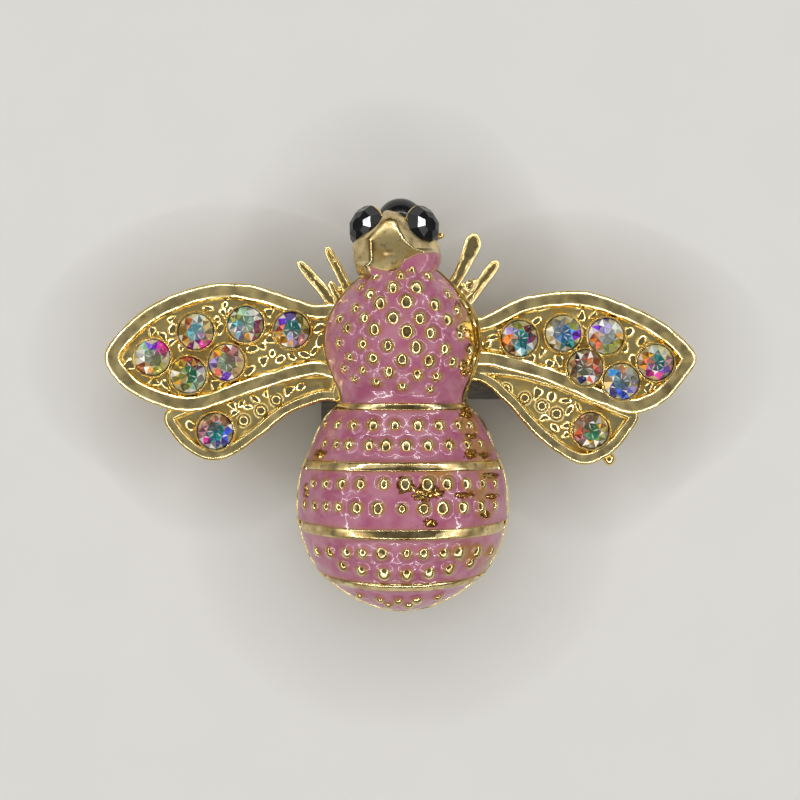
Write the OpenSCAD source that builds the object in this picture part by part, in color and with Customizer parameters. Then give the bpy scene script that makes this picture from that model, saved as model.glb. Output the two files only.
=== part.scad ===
// Bee brooch lying face up: head towards +Y, wings along X, pin fitting underneath.
// Millimetres. The origin lies under the middle of the outline, on the surface that the brooch rests on.

/* [Body] */
// Length of the head, from its front to the neck
head_len = 3.6; // [3.2:0.1:4.2]
// Length of the thorax, from the neck to the waist
thorax_len = 9; // [8.4:0.1:10]
// Widest width of the thorax
thorax_w = 10; // [9.4:0.1:10.8]
// Height of the thorax above the flat back
thorax_h = 5.2; // [4.6:0.1:6]
// Width of the waist
waist_w = 8.3; // [7.8:0.1:8.8]
// Height of the waist above the flat back
waist_h = 3.9; // [3.5:0.1:4.3]
// Length of the abdomen, from the waist to the tail
abdomen_len = 12.5; // [11.5:0.1:13.5]
// Widest width of the abdomen
abdomen_w = 12.9; // [12:0.1:13.8]
// Height of the abdomen above the flat back
abdomen_h = 6; // [5.4:0.1:6.8]
// Widest width of the head
head_w = 5.2; // [4.9:0.1:5.6]
// Height of the head above the flat back
head_h = 4.4; // [4:0.1:4.8]
// Roundness of the cross section, where 2 is an ellipse
roundness = 2.3; // [2:0.1:2.8]
// Sideways place of the body's middle line
body_x = 0.15; // [0:0.05:0.3]

/* [Enamel and relief] */
// Thickness of the enamel
enamel_t = 0.35; // [0.25:0.05:0.5]
// Height of the bare metal edge round the abdomen
abdomen_edge_h = 0.6; // [0.4:0.1:0.9]
// Diameter of a stud at the enamel's surface
stud_d = 0.66; // [0.5:0.02:0.76]
// Rise of a stud above the enamel
stud_rise = 0.14; // [0.08:0.02:0.24]
// Width of a raised band
band_w = 0.58; // [0.45:0.01:0.7]
// Rise of a band above the enamel
band_rise = 0.16; // [0.08:0.02:0.3]

/* [Wings] */
// Distance from wing tip to wing tip
wing_span = 36; // [34.5:0.5:38]
// Width of a forewing, front to back
forewing_w = 7.9; // [7.5:0.1:8.6]
// Place of a forewing's hind edge behind the waist
forewing_set = 0.4; // [0.2:0.1:0.8]
// Reach of a hindwing out from the middle
hindwing_reach = 14.4; // [13.8:0.1:15.2]
// Width of a hindwing, front to back
hindwing_w = 4.8; // [4.4:0.1:5.2]
// Place of a hindwing's front edge ahead of the waist
hindwing_set = 1.45; // [1.1:0.05:1.8]
// Height of the wings' underside above the flat back
wing_lift = 0.4; // [0.2:0.1:0.8]
// Thickness of a wing's sunk floor
wing_t = 0.9; // [0.75:0.05:1.2]
// Height of a rim above the sunk floor
rim_h = 0.5; // [0.3:0.05:0.7]
// Width of a rim
rim_w = 0.72; // [0.5:0.02:0.9]
// Drop of the hindwings below the forewings
hind_drop = 0.3; // [0.2:0.05:0.4]
// Height of a pebble above the sunk floor
pebble_h = 0.22; // [0.1:0.02:0.35]

/* [Stones] */
// Diameter of a wing stone
stone_d = 2.16; // [2:0.02:2.3]
// Space between the girdles of neighbouring stones
stone_space = 0.14; // [0.12:0.02:0.2]
// Height of a cup above the wing's floor
cup_h = 0.5; // [0.4:0.05:0.6]
// Wall of a cup round its stone
cup_wall = 0.14; // [0.1:0.02:0.2]
// Diameter of an eye stone
eye_d = 2.7; // [2.5:0.05:2.9]
// Outward tilt of an eye, in degrees
eye_lean = 42; // [36:1:48]
// Forward tilt of an eye, in degrees
eye_pitch = 16; // [10:1:22]
// Radius of the round face
face_r = 1.45; // [1.3:0.05:1.6]

/* [Legs] */
// Length of the longest leg beyond the body
leg_len = 3.4; // [3:0.1:4]
// Diameter of a leg
leg_d = 0.6; // [0.5:0.05:0.7]

/* [Pin fitting] */
// Height of the pin fitting under the flat back
fitting_h = 2.4; // [2.2:0.1:3]
// Length of the base bar
bar_len = 13; // [12:0.5:14]
// Width of the base bar
bar_w = 2.2; // [1.8:0.1:2.6]
// Thickness of the base bar
bar_t = 0.5; // [0.4:0.05:0.7]
// Width of the hinge across its ears
hinge_w = 5.4; // [4.8:0.1:6]
// Thickness of a hinge ear
ear_t = 0.6; // [0.4:0.05:0.8]
// Diameter of the pin wire
wire_d = 0.8; // [0.6:0.05:0.9]
// Width of the catch
catch_w = 2.9; // [2.6:0.1:3.2]

/* [Fit] */
// Gap between a piece and the piece that holds it
seat_gap = 0.05; // [0.03:0.01:0.08]

/* [Hidden] */
STONES = 6;

// How far a cut runs past the tail
cut_past = 1;

LEFT = -1;
RIGHT = 1;
eps = 0.01;

// Places along Y
total_len = head_len + thorax_len + abdomen_len;
front_y = total_len / 2;
neck_y = front_y - head_len;
waist_y = neck_y - thorax_len;
tail_y = -total_len / 2;

// Heights
back_z = fitting_h + seat_gap;
wing_z = back_z + wing_lift;
wing_top = wing_lift + wing_t + rim_h;
// The bare edge of the thorax ends a little above the rims that run into it
thorax_edge_h = wing_top + 0.07;

// Body outline. Columns: place along the part, half width, height, each a share of the part's own size
THORAX = [
    [0, 0.3, 0.7],
    [0.06, 0.42, 0.765],
    [0.13, 0.56, 0.835],
    [0.22, 0.73, 0.9],
    [0.32, 0.87, 0.94],
    [0.43, 0.965, 0.985],
    [0.55, 1, 1],
    [0.68, 0.975, 0.99],
    [0.81, 0.895, 0.92],
    [0.91, 0.83, 0.8]];
ABDOMEN = [
    [0.05, 0.73, 0.7],
    [0.12, 0.81, 0.765],
    [0.21, 0.88, 0.85],
    [0.33, 0.97, 0.94],
    [0.45, 1, 0.99],
    [0.55, 0.995, 1],
    [0.66, 0.94, 0.96],
    [0.755, 0.855, 0.885],
    [0.82, 0.765, 0.81],
    [0.875, 0.64, 0.715],
    [0.93, 0.475, 0.58],
    [0.965, 0.335, 0.45],
    [0.99, 0.175, 0.3],
    [1, 0.04, 0.18]];
HEAD = [
    [-0.2, 0.84, 0.95],
    [0.05, 0.93, 1],
    [0.2, 1, 0.98],
    [0.35, 0.9, 0.95],
    [0.55, 0.62, 0.89],
    [0.7, 0.46, 0.81],
    [0.78, 0.38, 0.68],
    [0.84, 0.3, 0.4]];

// Studs. Columns: row's place along the part, rise of its right end and bow as shares of the part's length,
// then each stud's sideways place as a share of the part's half width
THORAX_STUDS = [
    [0.08, 0, 0, [0.115]],
    [0.125, 0, 0, [-0.322, -0.019, 0.307]],
    [0.205, 0, 0, [-0.499, -0.115, 0.173]],
    [0.25, 0, 0, [-0.394, 0.552]],
    [0.3, 0, -0.1, [-0.566, -0.274, 0.048, 0.394, 0.662]],
    [0.41, -0.01, -0.02, [-0.758, -0.461, -0.115, 0.211, 0.552]],
    [0.5, -0.035, 0, [-0.672, -0.341, 0.053, 0.341, 0.701]],
    [0.603, -0.035, 0, [-0.768, -0.485, -0.178, 0.168, 0.518, 0.816]],
    [0.693, -0.025, 0, [-0.638, -0.36, -0.005, 0.322, 0.61]],
    [0.785, -0.05, 0, [-0.701, -0.48, -0.163, 0.182, 0.413]],
    [0.87, -0.07, 0.02, [-0.576, -0.317, 0, 0.336]]];
ABDOMEN_STUDS = [
    [0.092, 0, 0, [-0.72, -0.61, -0.46, -0.28, -0.07, 0.145, 0.345, 0.525, 0.63]],
    [0.19, 0, 0.01, [-0.73, -0.62, -0.505, -0.315, -0.155, 0.035, 0.24, 0.44, 0.61, 0.73]],
    [0.375, 0, 0, [-0.835, -0.72, -0.57, -0.395, -0.175, 0.025, 0.235, 0.42, 0.6, 0.755, 0.865]],
    [0.495, 0, 0.02, [-0.915, -0.825, -0.72, -0.6, -0.43, -0.23, -0.005, 0.2, 0.38, 0.57, 0.74, 0.865]],
    [0.713, 0, 0.01, [-0.8, -0.685, -0.525, -0.375, -0.195, 0.04, 0.2, 0.385, 0.53, 0.7, 0.83]],
    [0.815, 0, 0.08, [-0.56, -0.385, -0.175, 0.04, 0.25, 0.44, 0.64]],
    [0.945, 0, 0.03, [-0.4, -0.21, -0.04, 0.135, 0.335]],
    [0.968, 0, 0.03, [-0.13, 0.06]]];

// Bands. Columns: place of its ends and of its middle along the abdomen, width as a share of band_w
BANDS = [
    [0, 0.005, 0.75],
    [0.277, 0.295, 1],
    [0.555, 0.623, 1.08],
    [0.8, 0.888, 0.95]];

// Wing outlines, seen from above. Columns: reach from the middle as a share of the tip's reach,
// place from the hind edge forwards for a forewing, or from the front edge backwards for a hindwing,
// as a share of the wing's width
LEFT_FOREWING = [
    [0.1, 0.8], [0.3, 0.845], [0.5, 0.985], [0.66, 0.985], [0.82, 0.855], [0.93, 0.67], [1, 0.443],
    [0.955, 0.235], [0.862, 0.085], [0.7, 0], [0.5, 0.145], [0.3, 0.275], [0.1, 0.29]];
RIGHT_FOREWING = [
    [0.1, 0.73], [0.27, 0.745], [0.42, 0.895], [0.6, 0.94], [0.75, 0.85], [0.9, 0.68], [1, 0.443],
    [0.965, 0.26], [0.89, 0.07], [0.79, -0.015], [0.68, 0.05], [0.5, 0.225], [0.3, 0.35], [0.1, 0.37]];
LEFT_HINDWING = [
    [0.15, 0.24], [0.32, 0.245], [0.46, 0.4], [0.585, 0.685], [0.7, 0.93], [0.81, 1], [0.9, 0.87],
    [0.965, 0.67], [1, 0.45], [0.93, 0.28], [0.5, -0.15], [0.15, -0.2]];
RIGHT_HINDWING = [
    [0.15, 0], [0.34, 0.01], [0.45, 0.29], [0.57, 0.68], [0.69, 0.96], [0.79, 1.055], [0.89, 0.92],
    [0.965, 0.68], [1.01, 0.42], [0.93, 0.27], [0.55, -0.17], [0.15, -0.25]];

// Stones of a forewing. Columns: steps of one stone outwards and forwards from the anchor stone
LEFT_STONES = [[0, 0], [1.149, -0.68], [0.2, -1.141], [-0.809, -0.806], [-1.315, 0.19], [-2.527, 0.045]];
RIGHT_STONES = [[0, 0], [-1.149, -0.14], [1.13, -0.079], [0.585, -0.906], [1.534, -1.27], [2.44, -0.767]];
// Anchor stone of each forewing and the one stone of each hindwing, placed like the outlines
LEFT_ANCHOR = [0.688, 0.62];
RIGHT_ANCHOR = [0.55, 0.608];
LEFT_HIND_SEAT = [0.779, 0.624];
RIGHT_HIND_SEAT = [0.805, 0.614];

// Pebbles on the sunk floors. Columns as in the outlines, then diameter
LEFT_PEBBLES = [
    [0.912, 0.366, 0.7], [0.768, 0.641, 0.6], [0.801, 0.588, 0.5], [0.596, 0.763, 0.5], [0.606, 0.641, 0.6],
    [0.441, 0.771, 0.5], [0.448, 0.641, 0.5], [0.498, 0.489, 0.6], [0.461, 0.397, 0.6], [0.404, 0.41, 0.7],
    [0.364, 0.43, 0.55], [0.508, 0.321, 0.55], [0.623, 0.214, 0.6], [0.828, 0.229, 0.55], [0.4, 0.8, 0.45]];
RIGHT_PEBBLES = [
    [0.461, 0.702, 0.5], [0.613, 0.74, 0.5], [0.653, 0.748, 0.5], [0.771, 0.618, 0.6], [0.815, 0.55, 0.6],
    [0.788, 0.405, 0.5], [0.441, 0.412, 0.6], [0.505, 0.37, 0.6], [0.838, 0.191, 0.5], [0.345, 0.62, 0.5],
    [0.35, 0.48, 0.5]];
LEFT_HIND_PEBBLES = [[0.66, 0.487, 0.8], [0.587, 0.362, 0.8], [0.523, 0.228, 0.8]];
RIGHT_HIND_PEBBLES = [
    [0.446, 0.089, 0.75], [0.527, 0.203, 0.75], [0.599, 0.304, 0.75], [0.661, 0.405, 0.75],
    [0.694, 0.57, 0.45], [0.89, 0.57, 0.5]];

// Legs. Columns: root along and across the thorax as shares, heading in degrees,
// length as a share of leg_len, tip and root thickness as shares of leg_d
LEGS = [
    [0.29, -0.595, 112, 1.02, 0.8, 1],
    [0.34, -0.71, 134, 1.15, 0.85, 1],
    [0.23, 0.528, 68, 1.2, 1.6, 0.9],
    [0.31, 0.691, 54, 1.02, 0.95, 1.1]];

// Corners of the skin between the right legs, across and along the thorax as shares
WEB = [[0.634, 0.18], [0.941, 0.14], [0.768, 0.3]];
// Nub, placed like the right hindwing's outline
NUB = [0.885, 0.98];
nub_d = 0.8;

SKIN_STEPS = 10;
CURVE_STEPS = 2;
STUD_SIDES = 5;
PEBBLE_SIDES = 5;
CUP_SIDES = 8;
STONE_SIDES = 8;

stone_pitch = stone_d + stone_space;
// Heights of a cut stone above and below its girdle, as shares of its diameter
stone_crown = 0.25;
stone_depth = 0.38;

function body_rows() = concat(
    [for (r = THORAX) [neck_y - r[0] * thorax_len, r[1] * thorax_w / 2, r[2] * thorax_h]],
    [[waist_y, waist_w / 2, waist_h]],
    [for (r = ABDOMEN) [waist_y - r[0] * abdomen_len, r[1] * abdomen_w / 2, r[2] * abdomen_h]]);
function head_rows() = [
    for (i = [len(HEAD) - 1:-1:0])
        [neck_y + HEAD[i][0] * head_len, HEAD[i][1] * head_w / 2, HEAD[i][2] * head_h]];

ROWS = body_rows();
HALF_WIDTHS = [for (r = ROWS) [r[0], r[1]]];
HEIGHTS = [for (r = ROWS) [r[0], r[2]]];

// Height of the body's surface above the flat back, at x from its middle line
function skin_z(x, y) =
    let (share = min(0.98, abs(x) / lookup(y, HALF_WIDTHS)))
    lookup(y, HEIGHTS) * pow(1 - pow(share, roundness), 1 / roundness);
// Direction straight out of the surface there
function skin_normal(x, y) =
    let (d = 0.15, slope_x = (skin_z(x + d, y) - skin_z(x - d, y)) / (2 * d),
        slope_y = (skin_z(x, y + d) - skin_z(x, y - d)) / (2 * d), n = [-slope_x, -slope_y, 1])
    n / norm(n);

// One cross section, from the right edge over the top to the left edge
function section(w, h) = [
    for (i = [0:SKIN_STEPS])
        let (a = 180 * i / SKIN_STEPS, c = cos(a))
        [w * sign(c) * pow(abs(c), 2 / roundness), h * pow(max(0, sin(a)), 2 / roundness)]];

// Solid swept through rows of place, half width and height, moved out by level
module sweep(rows, level) {
    steps = SKIN_STEPS + 1;
    middle = (rows[0][0] + rows[len(rows) - 1][0]) / 2;
    reach = abs(rows[0][0] - middle);
    stretch = 1 + level / reach;
    rings = [
        for (r = rows)
            [for (p = section(max(0.1, r[1] + level), max(0.2, r[2] + level)))
                [p[0], middle + (r[0] - middle) * stretch, p[1]]]];
    last = (len(rows) - 1) * steps;
    sides = [
        for (j = [0:len(rows) - 2])
            for (i = [0:steps - 1])
                let (a = j * steps + i, b = j * steps + (i + 1) % steps)
                [a, a + steps, b + steps, b]];
    first_cap = [for (i = [0:steps - 1]) i];
    last_cap = [for (i = [steps - 1:-1:0]) last + i];
    points = [for (ring = rings) for (p = ring) p];
    translate([body_x, 0, back_z])
        polyhedron(points, concat(sides, [first_cap], [last_cap]), convexity = 6);
}

// Where a band crosses the body: its edge line leans back so that its middle lies nearer the tail
function band_edge(b) = waist_y - b[0] * abdomen_len;
function band_slope(b) = (b[1] - b[0]) * abdomen_len / lookup(band_edge(b), HEIGHTS);
function band_y(b, z) = band_edge(b) - band_slope(b) * z;

// Place of a leaning line at height z, from its places at the flat back and at the height top_z
top_z = thorax_h + abdomen_h;
function lean(line, z) = line[0] + (line[1] - line[0]) * z / top_z;
function upright(y) = [y, y];
function band_line(b, shift) = [band_y(b, 0) + shift, band_y(b, top_z) + shift];

// Slice of space between two leaning lines, from height z0 to z1
module slice(front, rear, z0, z1) {
    translate([body_x + thorax_w, 0, back_z])
        rotate([90, 0, -90])
            linear_extrude(2 * thorax_w)
                polygon([
                    [-lean(front, z0), z0], [-lean(rear, z0), z0],
                    [-lean(rear, z1), z1], [-lean(front, z1), z1]]);
}

module band(b) {
    half = band_w * b[2] / 2;
    intersection() {
        sweep(ROWS, band_rise);
        slice(band_line(b, half), band_line(b, -half), eps, top_z);
    }
}

function stud_places(studs, start, length, width) = [
    for (row = studs)
        for (s = row[3])
            let (x = s * width / 2, y0 = start - row[0] * length,
                side = s * width / 2 / lookup(y0, HALF_WIDTHS),
                y = y0 + length * (row[1] * s + row[2] * side * side))
            [x, y, skin_z(x, y)]];
STUDS = concat(
    stud_places(THORAX_STUDS, neck_y, thorax_len, thorax_w),
    stud_places(ABDOMEN_STUDS, waist_y, abdomen_len, abdomen_w));

// Stands something on the surface at a stud's place, its up pointing straight out
module on_skin(p) {
    n = skin_normal(p[0], p[1]);
    translate([body_x, 0, back_z] + p)
        rotate([0, acos(n[2]), atan2(n[1], n[0])])
            children();
}

// Studs are rooted in the core under the enamel and taper a little
stud_foot = 1.8 * enamel_t;
stud_root_d = 1.12 * stud_d;
spire_h = 3 * stud_d;
module stud(p) {
    on_skin(p)
        translate([0, 0, -stud_foot])
            cylinder(h = stud_foot + stud_rise, d1 = stud_root_d, d2 = 0.76 * stud_d, $fn = STUD_SIDES);
}

// Hole for a stud: a straight foot under the enamel, then a spire that narrows with the stud
module stud_hole(p) {
    on_skin(p)
        hull() {
            translate([0, 0, -stud_foot])
                cylinder(h = eps, d = 1.5 * stud_d, $fn = STUD_SIDES);
            translate([0, 0, -1.4 * enamel_t])
                cylinder(h = spire_h, d1 = 1.5 * stud_d, d2 = 0, $fn = STUD_SIDES);
        }
}

// Flat edge of bare metal round the foot of the body
module body_edge() {
    intersection() {
        sweep(ROWS, 0);
        union() {
            slice(upright(front_y), upright(waist_y - eps), 0, thorax_edge_h);
            slice(upright(waist_y), upright(tail_y - cut_past), 0, abdomen_edge_h);
        }
    }
}

function curve_at(a, b, c, d, t) =
    0.5 * (2 * b + (c - a) * t + (2 * a - 5 * b + 4 * c - d) * t * t + (3 * b - a - 3 * c + d) * t * t * t);
// Smooth closed outline through the points of a table
function smooth(points) =
    let (n = len(points))
    [for (i = [0:n - 1])
        for (k = [0:CURVE_STEPS - 1])
            curve_at(points[(i + n - 1) % n], points[i], points[(i + 1) % n], points[(i + 2) % n],
                k / CURVE_STEPS)];
function fore_at(side, p) = [
    side * p[0] * wing_span / 2,
    waist_y - forewing_set + p[1] * forewing_w];
function hind_at(side, p) = [
    side * p[0] * hindwing_reach,
    waist_y + hindwing_set - p[1] * hindwing_w];
function stone_at(anchor, side, step) = anchor + stone_pitch * [side * step[0], step[1]];

// A rimmed wing with a sunk floor
module wing(outline, drop) {
    translate([0, 0, wing_z - drop]) {
        linear_extrude(wing_t)
            polygon(outline);
        difference() {
            union() {
                linear_extrude(wing_t + rim_h - rim_w / 5)
                    polygon(outline);
                linear_extrude(wing_t + rim_h)
                    offset(delta = -rim_w / 5)
                        polygon(outline);
            }
            translate([0, 0, wing_t])
                linear_extrude(rim_h + 1)
                    offset(delta = -rim_w)
                        polygon(outline);
        }
    }
}

module pebble(at, d, drop) {
    translate([at[0], at[1], wing_z + wing_t - drop - eps])
        cylinder(h = pebble_h, d1 = d, d2 = d * 0.55, $fn = PEBBLE_SIDES);
}

// Cut stone with a table, crown and pavilion, its girdle at height 0
module cut_stone(d, grow) {
    r = d / 2 + grow;
    hull() {
        cylinder(h = stone_crown * d + grow, r1 = r, r2 = r * 0.56, $fn = STONE_SIDES);
        mirror([0, 0, 1])
            cylinder(h = stone_depth * d + grow, r1 = r, r2 = r * 0.2, $fn = STONE_SIDES);
    }
}

// Stands a wing's child at the girdle of a stone
module seat(at, drop) {
    translate([at[0], at[1], wing_z + wing_t - drop + cup_h])
        children();
}

module cup(at, drop) {
    translate([at[0], at[1], wing_z + wing_t - drop - eps])
        cylinder(h = cup_h, d = stone_d + 2 * seat_gap + 2 * cup_wall, $fn = CUP_SIDES);
}

left_seats = [for (s = LEFT_STONES) stone_at(fore_at(LEFT, LEFT_ANCHOR), LEFT, s)];
right_seats = [for (s = RIGHT_STONES) stone_at(fore_at(RIGHT, RIGHT_ANCHOR), RIGHT, s)];
left_hind_seat = hind_at(LEFT, LEFT_HIND_SEAT);
right_hind_seat = hind_at(RIGHT, RIGHT_HIND_SEAT);

module wings() {
    wing([for (p = smooth(LEFT_FOREWING)) fore_at(LEFT, p)], 0);
    wing([for (p = smooth(RIGHT_FOREWING)) fore_at(RIGHT, p)], 0);
    wing([for (p = smooth(LEFT_HINDWING)) hind_at(LEFT, p)], hind_drop);
    wing([for (p = smooth(RIGHT_HINDWING)) hind_at(RIGHT, p)], hind_drop);
    for (p = LEFT_PEBBLES)
        pebble(fore_at(LEFT, p), p[2], 0);
    for (p = RIGHT_PEBBLES)
        pebble(fore_at(RIGHT, p), p[2], 0);
    for (p = LEFT_HIND_PEBBLES)
        pebble(hind_at(LEFT, p), p[2], hind_drop);
    for (p = RIGHT_HIND_PEBBLES)
        pebble(hind_at(RIGHT, p), p[2], hind_drop);
    for (at = concat(left_seats, right_seats))
        cup(at, 0);
    cup(left_hind_seat, hind_drop);
    cup(right_hind_seat, hind_drop);
}

module wing_stones(grow) {
    for (at = concat(left_seats, right_seats))
        seat(at, 0)
            cut_stone(stone_d, grow);
    for (at = [left_hind_seat, right_hind_seat])
        seat(at, hind_drop)
            cut_stone(stone_d, grow);
}

// The head sits a little to the left, with an eye on each side and a round face between them
head_x = body_x - 0.5;
face_x = head_x + 0.38;
face_y = front_y - face_r;
face_z = back_z + 1.7;
eye_x = head_w / 2 - 0.85;
eye_y = front_y - eye_d / 2 - 0.4;
eye_z = back_z + head_h - 1.9;
eye_socket_depth = 0.6 * eye_d;
prong_d = 0.42;

module at_eye(side) {
    translate([head_x + side * eye_x, eye_y, eye_z])
        rotate([-eye_pitch, side * eye_lean, 0])
            children();
}

// Metal under an eye, just narrower than the stone, so that it hides behind it
module eye_socket(side) {
    at_eye(side)
        translate([0, 0, -eye_socket_depth])
            cylinder(h = eye_socket_depth * 0.8, d = eye_d - 2 * cup_wall, $fn = 12);
}

// Room for an eye, open outwards
module eye_room(side) {
    at_eye(side)
        translate([0, 0, -seat_gap])
            cylinder(h = eye_d, d = eye_d + 2 * seat_gap, $fn = 16);
}

// Round face with a narrower back, set into the head
module face_ball(grow) {
    translate([face_x, face_y, face_z])
        hull() {
            sphere(r = face_r + grow, $fn = 14);
            translate([0, -face_r / 3, 0])
                sphere(r = 0.8 * face_r + grow, $fn = 10);
        }
}

// Small prong that holds the right eye on its outer side
module prong() {
    at_eye(RIGHT)
        hull() {
            translate([0.4 * eye_d, -0.2 * eye_d, -0.32 * eye_d])
                sphere(d = prong_d, $fn = 8);
            translate([eye_d / 2 + prong_d / 3, -0.2 * eye_d, 0])
                sphere(d = prong_d, $fn = 8);
        }
}

module head() {
    difference() {
        union() {
            intersection() {
                union() {
                    translate([head_x - body_x, 0, 0])
                        sweep(head_rows(), 0);
                    for (side = [LEFT, RIGHT])
                        eye_socket(side);
                }
                slice(upright(front_y), upright(waist_y), 0, top_z);
            }
            prong();
        }
        face_ball(seat_gap);
        for (side = [LEFT, RIGHT]) {
            eye_room(side);
            at_eye(side)
                cut_stone(eye_d, seat_gap);
        }
    }
}

module leg(l) {
    root = [body_x + l[1] * thorax_w / 2, neck_y - l[0] * thorax_len, back_z + wing_lift + 0.7];
    tip = root + l[3] * leg_len * [cos(l[2]), sin(l[2]), 0];
    hull() {
        translate(root)
            sphere(d = leg_d * l[5], $fn = 6);
        translate(tip)
            sphere(d = leg_d * l[4], $fn = 6);
    }
}

// Ragged casting skin between the roots of the two right legs
module web() {
    hull()
        for (p = WEB)
            translate([body_x + p[0] * thorax_w / 2, neck_y - p[1] * thorax_len, back_z + wing_lift + 0.5])
                sphere(d = leg_d, $fn = 6);
}

// Small round nub under the right hindwing's hind edge
module nub() {
    at = hind_at(RIGHT, NUB);
    translate([at[0], at[1], wing_z - hind_drop + nub_d / 3])
        sphere(d = nub_d, $fn = 8);
}

module casting() {
    color("gold")
        union() {
            difference() {
                union() {
                    sweep(ROWS, -enamel_t);
                    body_edge();
                    for (b = BANDS)
                        band(b);
                    for (p = STUDS)
                        stud(p);
                    wings();
                    for (l = LEGS)
                        leg(l);
                    web();
                    nub();
                }
                wing_stones(seat_gap);
                face_ball(seat_gap);
                translate([-wing_span, -total_len, -1])
                    cube([2 * wing_span, 2 * total_len, back_z + 1]);
            }
            head();
        }
}

// Enamel between two leaning lines, round the studs
module enamel(front, rear, z0) {
    color("palevioletred")
        difference() {
            intersection() {
                sweep(ROWS, 0);
                slice(front, rear, z0 + seat_gap, top_z);
            }
            sweep(ROWS, seat_gap - enamel_t);
            for (p = STUDS)
                if (p[1] < front[0] + 1 && p[1] > rear[1] - 1)
                    stud_hole(p);
        }
}

// Lines just ahead of and just behind a band
function ahead_of(b) = band_line(b, band_w * b[2] / 2 + seat_gap);
function behind(b) = band_line(b, -band_w * b[2] / 2 - seat_gap);

module thorax_enamel() {
    difference() {
        enamel(upright(neck_y), ahead_of(BANDS[0]), thorax_edge_h);
        translate([head_x - body_x, 0, 0])
            sweep(head_rows(), seat_gap);
    }
}

module abdomen_enamel(i) {
    last = i == len(BANDS) - 1;
    enamel(behind(BANDS[i]), last ? upright(tail_y - cut_past) : ahead_of(BANDS[i + 1]), abdomen_edge_h);
}

// The face is hollowed round each eye and the metal under it
module eye_keepout(side) {
    at_eye(side)
        translate([0, 0, -eye_socket_depth - seat_gap])
            cylinder(h = eye_socket_depth + eye_d, d = eye_d + 2 * seat_gap, $fn = 24);
}

module face_enamel() {
    color("black")
        difference() {
            face_ball(0);
            for (side = [LEFT, RIGHT])
                eye_keepout(side);
        }
}

module eye(side) {
    color("dimgray")
        at_eye(side)
            cut_stone(eye_d, 0);
}

module stone(at, drop) {
    color("lightcyan")
        seat(at, drop)
            cut_stone(stone_d, 0);
}

// Base bar with a hinge at the left, a pin wire along it and a catch at the right
bar_x0 = -4.8;
bar_y0 = waist_y + 0.4;
hinge_len = 2.2;
catch_len = 1.2;
wire_y = bar_y0 + bar_w / 2;
wire_z = fitting_h * 0.42;
module pin_back() {
    hinge_y0 = bar_y0 + bar_w - hinge_w;
    color("silver")
        union() {
            translate([bar_x0, bar_y0, fitting_h - bar_t])
                cube([bar_len, bar_w, bar_t]);
            translate([bar_x0, hinge_y0, fitting_h - bar_t])
                cube([hinge_len, hinge_w, bar_t]);
            for (y = [hinge_y0, hinge_y0 + hinge_w - ear_t])
                translate([bar_x0, y, 0])
                    cube([hinge_len, ear_t, fitting_h]);
            translate([bar_x0 + hinge_len / 2, hinge_y0, wire_z])
                rotate([-90, 0, 0])
                    cylinder(h = hinge_w, d = wire_d, $fn = 32);
            translate([bar_x0 + hinge_len / 2, wire_y, wire_z])
                rotate([0, 90, 0])
                    cylinder(h = bar_len - hinge_len / 2, d = wire_d, $fn = 32);
            translate([bar_x0 + bar_len - catch_len, bar_y0 + bar_w - catch_w, 0])
                cube([catch_len, catch_w, fitting_h]);
        }
}

casting();
thorax_enamel();
for (i = [0:len(BANDS) - 1])
    abdomen_enamel(i);
face_enamel();
eye(LEFT);  // eye_left
eye(RIGHT);  // eye_right
for (i = [0:STONES - 1]) {
    stone(left_seats[i], 0);
    stone(right_seats[i], 0);
}
stone(left_hind_seat, hind_drop);  // left_hind_stone
stone(right_hind_seat, hind_drop);  // right_hind_stone
pin_back();
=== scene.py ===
"""Looks of a bee brooch: a gold plated casting with pink enamel, cut glass stones and a pin fitting below.

Sizes are millimetres until a mesh is made. The frame of the part's model is kept: head towards +Y, back down.
"""
import math
import random

import bpy
import numpy as np
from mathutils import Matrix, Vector, noise
from mathutils.geometry import delaunay_2d_cdt


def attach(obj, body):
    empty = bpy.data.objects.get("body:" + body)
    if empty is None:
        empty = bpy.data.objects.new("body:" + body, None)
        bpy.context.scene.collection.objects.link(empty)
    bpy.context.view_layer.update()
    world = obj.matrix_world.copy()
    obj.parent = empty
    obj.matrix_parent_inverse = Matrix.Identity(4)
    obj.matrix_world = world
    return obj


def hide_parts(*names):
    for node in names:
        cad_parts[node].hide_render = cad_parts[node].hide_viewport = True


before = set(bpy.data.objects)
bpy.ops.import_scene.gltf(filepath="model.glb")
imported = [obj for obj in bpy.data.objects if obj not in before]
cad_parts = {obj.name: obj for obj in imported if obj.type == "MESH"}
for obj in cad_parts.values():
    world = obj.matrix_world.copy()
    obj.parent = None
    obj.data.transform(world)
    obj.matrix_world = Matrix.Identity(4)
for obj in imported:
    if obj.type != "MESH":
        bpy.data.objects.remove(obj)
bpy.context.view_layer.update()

MM = 0.001

# Sizes shared with the part's source
NECK_Y = 8.95
WAIST_Y = -0.05
TAIL_Y = -12.55
BODY_X = 0.15
BACK_Z = 2.45
THORAX_LEN = 9.0
ABDOMEN_LEN = 12.5
THORAX_W = 10.0
ABDOMEN_W = 12.9
THORAX_H = 5.2
ABDOMEN_H = 6.0
ROUNDNESS = 2.3
WING_SPAN = 36.0
FOREWING_W = 7.9
FOREWING_SET = 0.4
HIND_REACH = 14.4
HIND_W = 4.8
HIND_SET = 1.45
HIND_DROP = 0.3
WING_Z = 2.85
WING_T = 0.9
STONE_D = 2.16
STONE_PITCH = 2.3
CUP_H = 0.5
EYE_D = 2.7
FACE_R = 1.45
HEAD_X = -0.35
HEAD_ROUNDNESS = 4.2

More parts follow.
